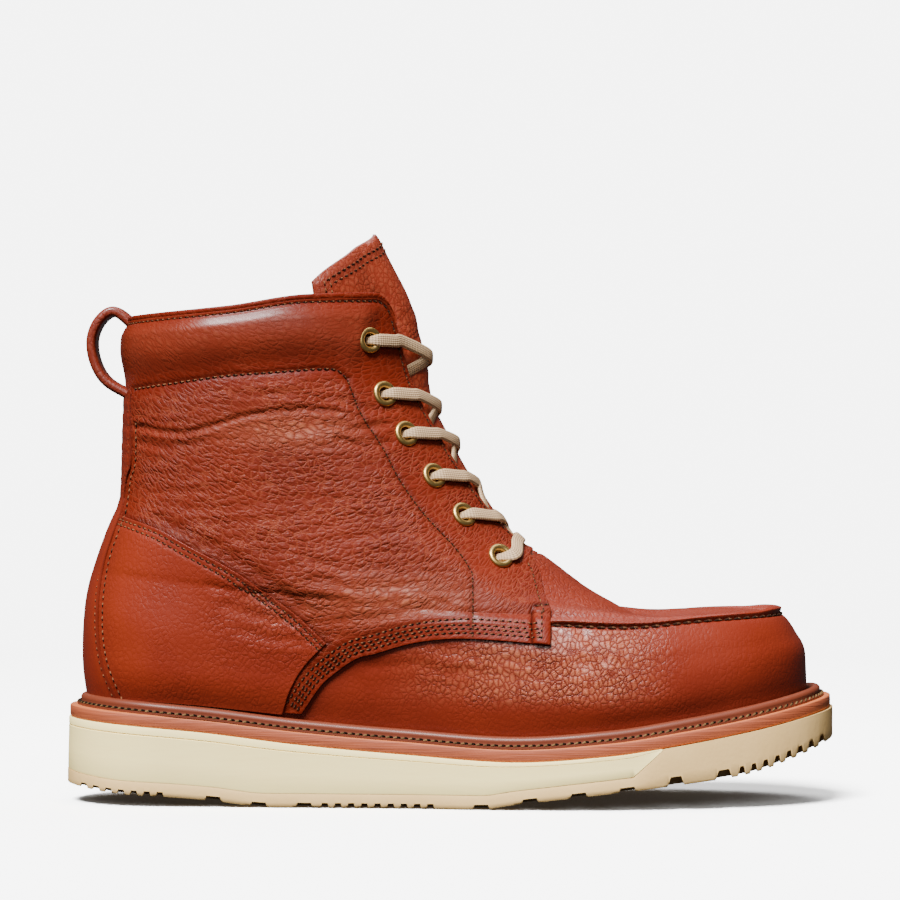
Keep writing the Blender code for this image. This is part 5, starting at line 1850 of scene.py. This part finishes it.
@dataclass
class PullLoop:
    """Leather band bent into a loop behind the collar."""

    shop: Workshop
    width: float = 20.0
    thickness: float = 4.2

    def build(self) -> None:
        """A flat band with rounded edges carried along the loop's path."""
        path = flowing(np.array(LOOP_PATH), 90)
        run = unit(np.gradient(path, axis=0))
        side = np.stack([-run[:, 1], run[:, 0]], -1)
        angle = np.linspace(0, math.tau, 28, endpoint=False)
        across = np.sign(np.cos(angle)) * np.abs(np.cos(angle)) ** 0.35 * self.width / 2
        out = np.sign(np.sin(angle)) * np.abs(np.sin(angle)) ** 0.6 * self.thickness / 2
        grid = np.empty((len(path), len(angle), 3))
        grid[..., 0] = path[:, :1] + side[:, :1] * out
        grid[..., 1] = across
        grid[..., 2] = path[:, 1:] + side[:, 1:] * out
        points, faces = tube(grid)
        shape = points.shape[:2]
        rim = np.broadcast_to(np.abs(across) > self.width / 2 - 0.6, (len(path), len(angle)))
        rim = np.concatenate([rim[:1], rim, rim[:1]])
        # Darker a little all over and more at the rims, through the painted shade value; wax and a painted
        # highlight all over.
        values = {"grain": np.full(shape, 0.35), "painted_shade": 0.04 + 0.2 * rim, "polish": np.full(shape, 0.6)}
        self.shop.add(
            "loop_strap", points, faces, UPPER_LEATHER, "leather", ("pull_loop",), values, closed=True
        )


@dataclass
class Lacing:
    """Brass eyelets and the flat lace through them: crossings, and a bar at the bottom of the throat."""

    shop: Workshop
    upper: Upper
    tongue: Tongue
    leather: float = 1.45
    rim: float = 5.25
    hole: float = 2.75
    width: float = 5.2
    thickness: float = 1.7
    tongue_radius: float = 37.0

    def build(self) -> None:
        """Make eyelets and lace."""
        self.build_eyelets()
        self.build_lace()

    def build_eyelets(self) -> None:
        """A rounded flange with a barrel that turns down into the hole."""
        angle = np.linspace(0, math.tau, 36, endpoint=False)
        curl = np.radians(np.linspace(0, 180, 9))
        middle, half = (self.rim + self.hole) / 2, (self.rim - self.hole) / 2
        barrel = [self.hole - 0.05, self.hole - 0.05, 0.9 * self.hole]
        radius = np.concatenate([[self.rim - 0.1], middle + half * np.cos(curl), barrel])
        level = np.concatenate([[-0.5], np.sin(curl), [-0.6, -1.2, -1.25]])
        x, y = radius * np.cos(angle)[:, None], radius * np.sin(angle)[:, None]
        local = np.stack(np.broadcast_arrays(x, y, level), -1)
        cells = grid_faces(len(radius), len(angle), wrap=True)
        bodies, nodes = [], []
        for side in Side:
            centres, ways = self.upper.on_quarter(LAST.find(np.array(EYELETS), side), side, 0.15)
            for number, (centre, way) in enumerate(zip(centres, ways), start=1):
                frame = np.array(Vector(way).to_track_quat("Z", "Y").to_matrix())
                grid = np.swapaxes(centre + local @ frame.T, 0, 1)
                bodies.append((grid, faces_outward(grid, cells, np.broadcast_to(way, grid.shape))))
                nodes.append(f"eyelet_{side.word}_{number}")
        tones = (0.46, 0.29, 0.085), (0.58, 0.39, 0.14)
        finish = Plain("aged_brass", *tones, 0.38, metal=1.0, speckle=1500.0, depth=0.03)
        self.shop.add("eyelet_rings", *joined(bodies), finish, "brass", tuple(nodes))

    def strand(self, stops: list[tuple[Array, Array]]) -> tuple[Array, Array, Array]:
        """A flat lace through stops.

        Args:
            stops: Points that the lace runs through, each with the direction that its face looks.

        Returns:
            Sections, faces and texture coordinates.
        """
        count = 70
        places, ways = (np.array(column) for column in zip(*stops))
        both = flowing(np.concatenate([places, ways * 4.0], axis=1), count)
        path, face = both[:, :3], unit(both[:, 3:])
        run = unit(np.gradient(path, axis=0))
        side = unit(np.cross(run, face))
        face = unit(np.cross(side, run))
        angle = np.linspace(0, math.tau, 16, endpoint=False)
        across = np.sign(np.cos(angle)) * np.abs(np.cos(angle)) ** 0.55 * self.width / 2
        out = np.sign(np.sin(angle)) * np.abs(np.sin(angle)) ** 0.8 * self.thickness / 2
        length = np.concatenate([[0], np.cumsum(np.linalg.norm(np.diff(path, axis=0), axis=1))])
        narrow = 0.62 + 0.38 * ease(length, 1.5, 7.0)
        grid = path[:, None] + side[:, None] * (narrow[:, None] * across)[..., None]
        grid = grid + face[:, None] * ((1.25 - 0.25 * narrow)[:, None] * out)[..., None]
        points, faces = tube(grid)
        uv = np.stack(np.broadcast_arrays(length[:, None], across[None]), -1)
        return points, faces, np.concatenate([uv[:1], uv, uv[-1:]])

    def above(self, row: float, turn: float, height: float) -> tuple[Array, Array]:
        """Point at a height over the upper, and the direction out of it."""
        way = LAST.normals(np.array([row]), np.array([turn]))[0]
        return LAST.points(np.array([row]), np.array([turn]))[0] + way * height, way

    def on_tongue(self, row: float, spread: float, height: float) -> tuple[Array, Array]:
        """Point at a height over the tongue, and the direction out of it."""
        spot = np.array([row]), np.array([spread])
        point = self.tongue.face(*spot, self.tongue.depth)[0]
        way = unit(self.tongue.face(*spot, self.tongue.depth - 1.0)[0] - point)
        return point + way * height, way

    def over_edge(
        self, row: float, part: float, side: Side, share: float, lift: float
    ) -> tuple[Array, Array]:
        """Stop on the quarter at a share of the way from the facing's edge to the eyelet."""
        height = lift + self.leather + self.thickness / 2
        return self.above(row, float(side.turn(part * share)), height)

    def out_of_hole(self, row: float, part: float, side: Side) -> list[tuple[Array, Array]]:
        """Stops where the lace comes up through an eyelet."""
        deep = self.above(row, float(side.turn(part * 1.02)), -0.6)
        rim = self.above(row, float(side.turn(part * 0.90)), self.leather + 1.5)
        return [deep, rim]

    def build_lace(self) -> None:
        """Each strand leaves an eyelet, crosses the tongue and goes under the far facing to the next."""
        seats = {side: LAST.find(np.array(EYELETS), side) for side in Side}
        finish = Braid("lace_braid", (0.19, 0.112, 0.056), (0.58, 0.385, 0.215))
        height = 0.5 + self.thickness / 2
        for number in range(len(EYELETS) - 1):
            bodies, uvs = [], []
            for side, far, raised in ((Side.LATERAL, Side.MEDIAL, 1.5), (Side.MEDIAL, Side.LATERAL, 0.0)):
                row, part = seats[side][number]
                low_row = max(seats[far][number + 1][0], 9.1)
                way = side.value
                stops = self.out_of_hole(row, part, side)
                for share, lift in ((0.5, 0.6), (0.15, 0.4)):
                    stops.append(self.over_edge(row, part, side, share, lift))
                crest = 0.25 - 0.05 * number
                raised = raised if number < 3 else 0.2 * raised
                bends = ((crest, 0.05, height + raised), (crest + 0.16, -0.14, height + 0.5 * raised))
                for down, spread, lift in bends:
                    stops.append(self.on_tongue(row + (low_row - row) * down, way * spread, lift))
                for down, inside, lift in ((0.62, 3.0, 1.2), (0.76, -1.5, 0.2), (0.90, -6.0, -0.6)):
                    under_row = row + (low_row - row) * down
                    gap = LAST.columns(np.array([under_row])).gap[0]
                    angle = math.asin((gap - inside) / self.tongue_radius) / self.tongue.spread
                    stops.append(self.on_tongue(under_row, -way * angle, lift + self.thickness / 2))
                points, faces, uv = self.strand(stops)
                bodies.append((points, faces))
                uvs.append(uv.reshape(-1, 2))
            name = f"lace_cross_{number + 1}"
            uv = np.concatenate(uvs)
            self.shop.add(name + "_braid", *joined(bodies), finish, "lace", (name,), uv=uv, closed=True)
        self.build_bar(seats, finish)

    def build_bar(self, seats: dict[Side, Array], finish: Braid) -> None:
        """The lowest run, outside from eyelet to eyelet."""
        stops = []
        for side in Side:
            row, part = seats[side][-1]
            half = self.out_of_hole(row, part, side)
            for up, share, lift in ((0.15, 0.78, 0.4), (1.3, 0.45, 0.6)):
                half.append(self.over_edge(row + up, part, side, share, lift))
            stops += half if side is Side.LATERAL else half[::-1]
        stops.insert(4, (np.array([182.4, 0.0, 104.0]), unit(np.array([0.67, 0.0, 0.74]))))
        points, faces, uv = self.strand(stops)
        self.shop.add("lace_bar_braid", points, faces, finish, "lace", ("lace_bar",), uv=uv, closed=True)


@dataclass
class Studio:
    """Pale floor, soft lights and the camera at the photograph's view."""

    eye: tuple[float, float, float] = (0.0, -1.6, 0.1466)
    look: tuple[float, float, float] = (0.0, 0.0, 0.1406)
    angle: float = math.radians(12.93)
    pale: float = 2.2
    glow: float = 6.3

    def build(self) -> None:
        """Make the stage."""
        self.build_camera()
        self.build_floor()
        self.build_lights()

    def build_camera(self) -> None:
        """Camera square to the boot's lateral side."""
        data = bpy.data.cameras.new("photo_camera")
        data.angle = self.angle
        data.clip_start = 0.01
        camera = bpy.data.objects.new("photo_camera", data)
        camera.location = self.eye
        camera.rotation_euler = (Vector(self.look) - Vector(self.eye)).to_track_quat("-Z", "Y").to_euler()
        bpy.context.scene.collection.objects.link(camera)
        bpy.context.scene.camera = camera

    def build_floor(self) -> None:
        """Round floor that runs up into a wall in one curve; it glows evenly away from the boot."""
        turn = np.radians(np.linspace(0, 90, 16))
        radius = np.concatenate([[0.0, 0.5, 1.0, 2.0], 3.5 + 1.5 * np.sin(turn), [5.0]])
        rise = np.concatenate([np.zeros(4), 1.5 - 1.5 * np.cos(turn), [3.5]]) - 0.0003
        angle = np.linspace(0, math.tau, 64, endpoint=False)
        x, y = radius[:, None] * np.cos(angle), radius[:, None] * np.sin(angle)
        points = np.stack(np.broadcast_arrays(x, y, rise[:, None]), -1)
        mesh = bpy.data.meshes.new("floor")
        faces = grid_faces(len(radius), len(angle), wrap=True)
        mesh.from_pydata(points.reshape(-1, 3).tolist(), [], faces.tolist())
        mesh.shade_smooth()
        tree = Tree("floor_look")
        matte = tree.node("ShaderNodeBsdfDiffuse", {}, {"Color": (self.pale,) * 3})
        glow = tree.node("ShaderNodeEmission", {}, {"Color": (1.0, 1.0, 1.0), "Strength": self.glow})
        away = tree.value("ShaderNodeVectorMath", {"operation": "LENGTH"}, {0: tree.coordinates()}, "Value")
        far = ((away - 0.35) * 1.4).clipped()
        both = tree.node("ShaderNodeMixShader", {}, {0: far, 1: matte.outputs[0], 2: glow.outputs[0]})
        tree.links.new(both.outputs[0], tree.nodes["Material Output"].inputs["Surface"])
        mesh.materials.append(tree.material)
        floor = bpy.data.objects.new("floor", mesh)
        floor.visible_diffuse = False
        floor.visible_glossy = False
        floor.visible_shadow = False
        bpy.context.scene.collection.objects.link(floor)

    def build_lights(self) -> None:
        """Dim sky, a soft sun from the upper left and three large lamps."""
        world = bpy.data.worlds.new("studio")
        bpy.context.scene.world = world
        world.use_nodes = True
        sky = world.node_tree.nodes["Background"]
        sky.inputs["Color"].default_value = (1.0, 1.0, 1.0, 1.0)
        sky.inputs["Strength"].default_value = 0.08
        data = bpy.data.lights.new("key", "SUN")
        data.angle = math.radians(22)
        data.energy = 11.0
        key = bpy.data.objects.new("key", data)
        key.rotation_euler = Vector((0.30, 0.72, -1.0)).to_track_quat("-Z", "Y").to_euler()
        bpy.context.scene.collection.objects.link(key)
        self.area("top", (0.25, 0.35, 1.5), 0.9, 10.0)
        self.area("front", (0.1, -2.1, 1.0), 0.9, 11.0)
        self.area("rear", (-0.5, 1.7, 1.7), 1.2, 9.0)

    def area(self, name: str, place: tuple[float, float, float], size: float, power: float) -> None:
        """A square light that looks at the boot's middle."""
        data = bpy.data.lights.new(name, "AREA")
        data.size = size
        data.energy = power
        light = bpy.data.objects.new(name, data)
        light.location = place
        light.rotation_euler = (Vector((0, 0, 0.1)) - Vector(place)).to_track_quat("-Z", "Y").to_euler()
        bpy.context.scene.collection.objects.link(light)


def main() -> None:
    """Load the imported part, dress it and light it."""
    logging.basicConfig(level=logging.INFO, format="%(name)s %(message)s")
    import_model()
    Studio().build()
    shop = Workshop()
    Sole(shop).build()
    upper = Upper(shop)
    upper.build()
    tongue = Tongue(shop)
    tongue.build()
    PullLoop(shop).build()
    Lacing(shop, upper, tongue).build()


if __name__ == "__main__":
    main()
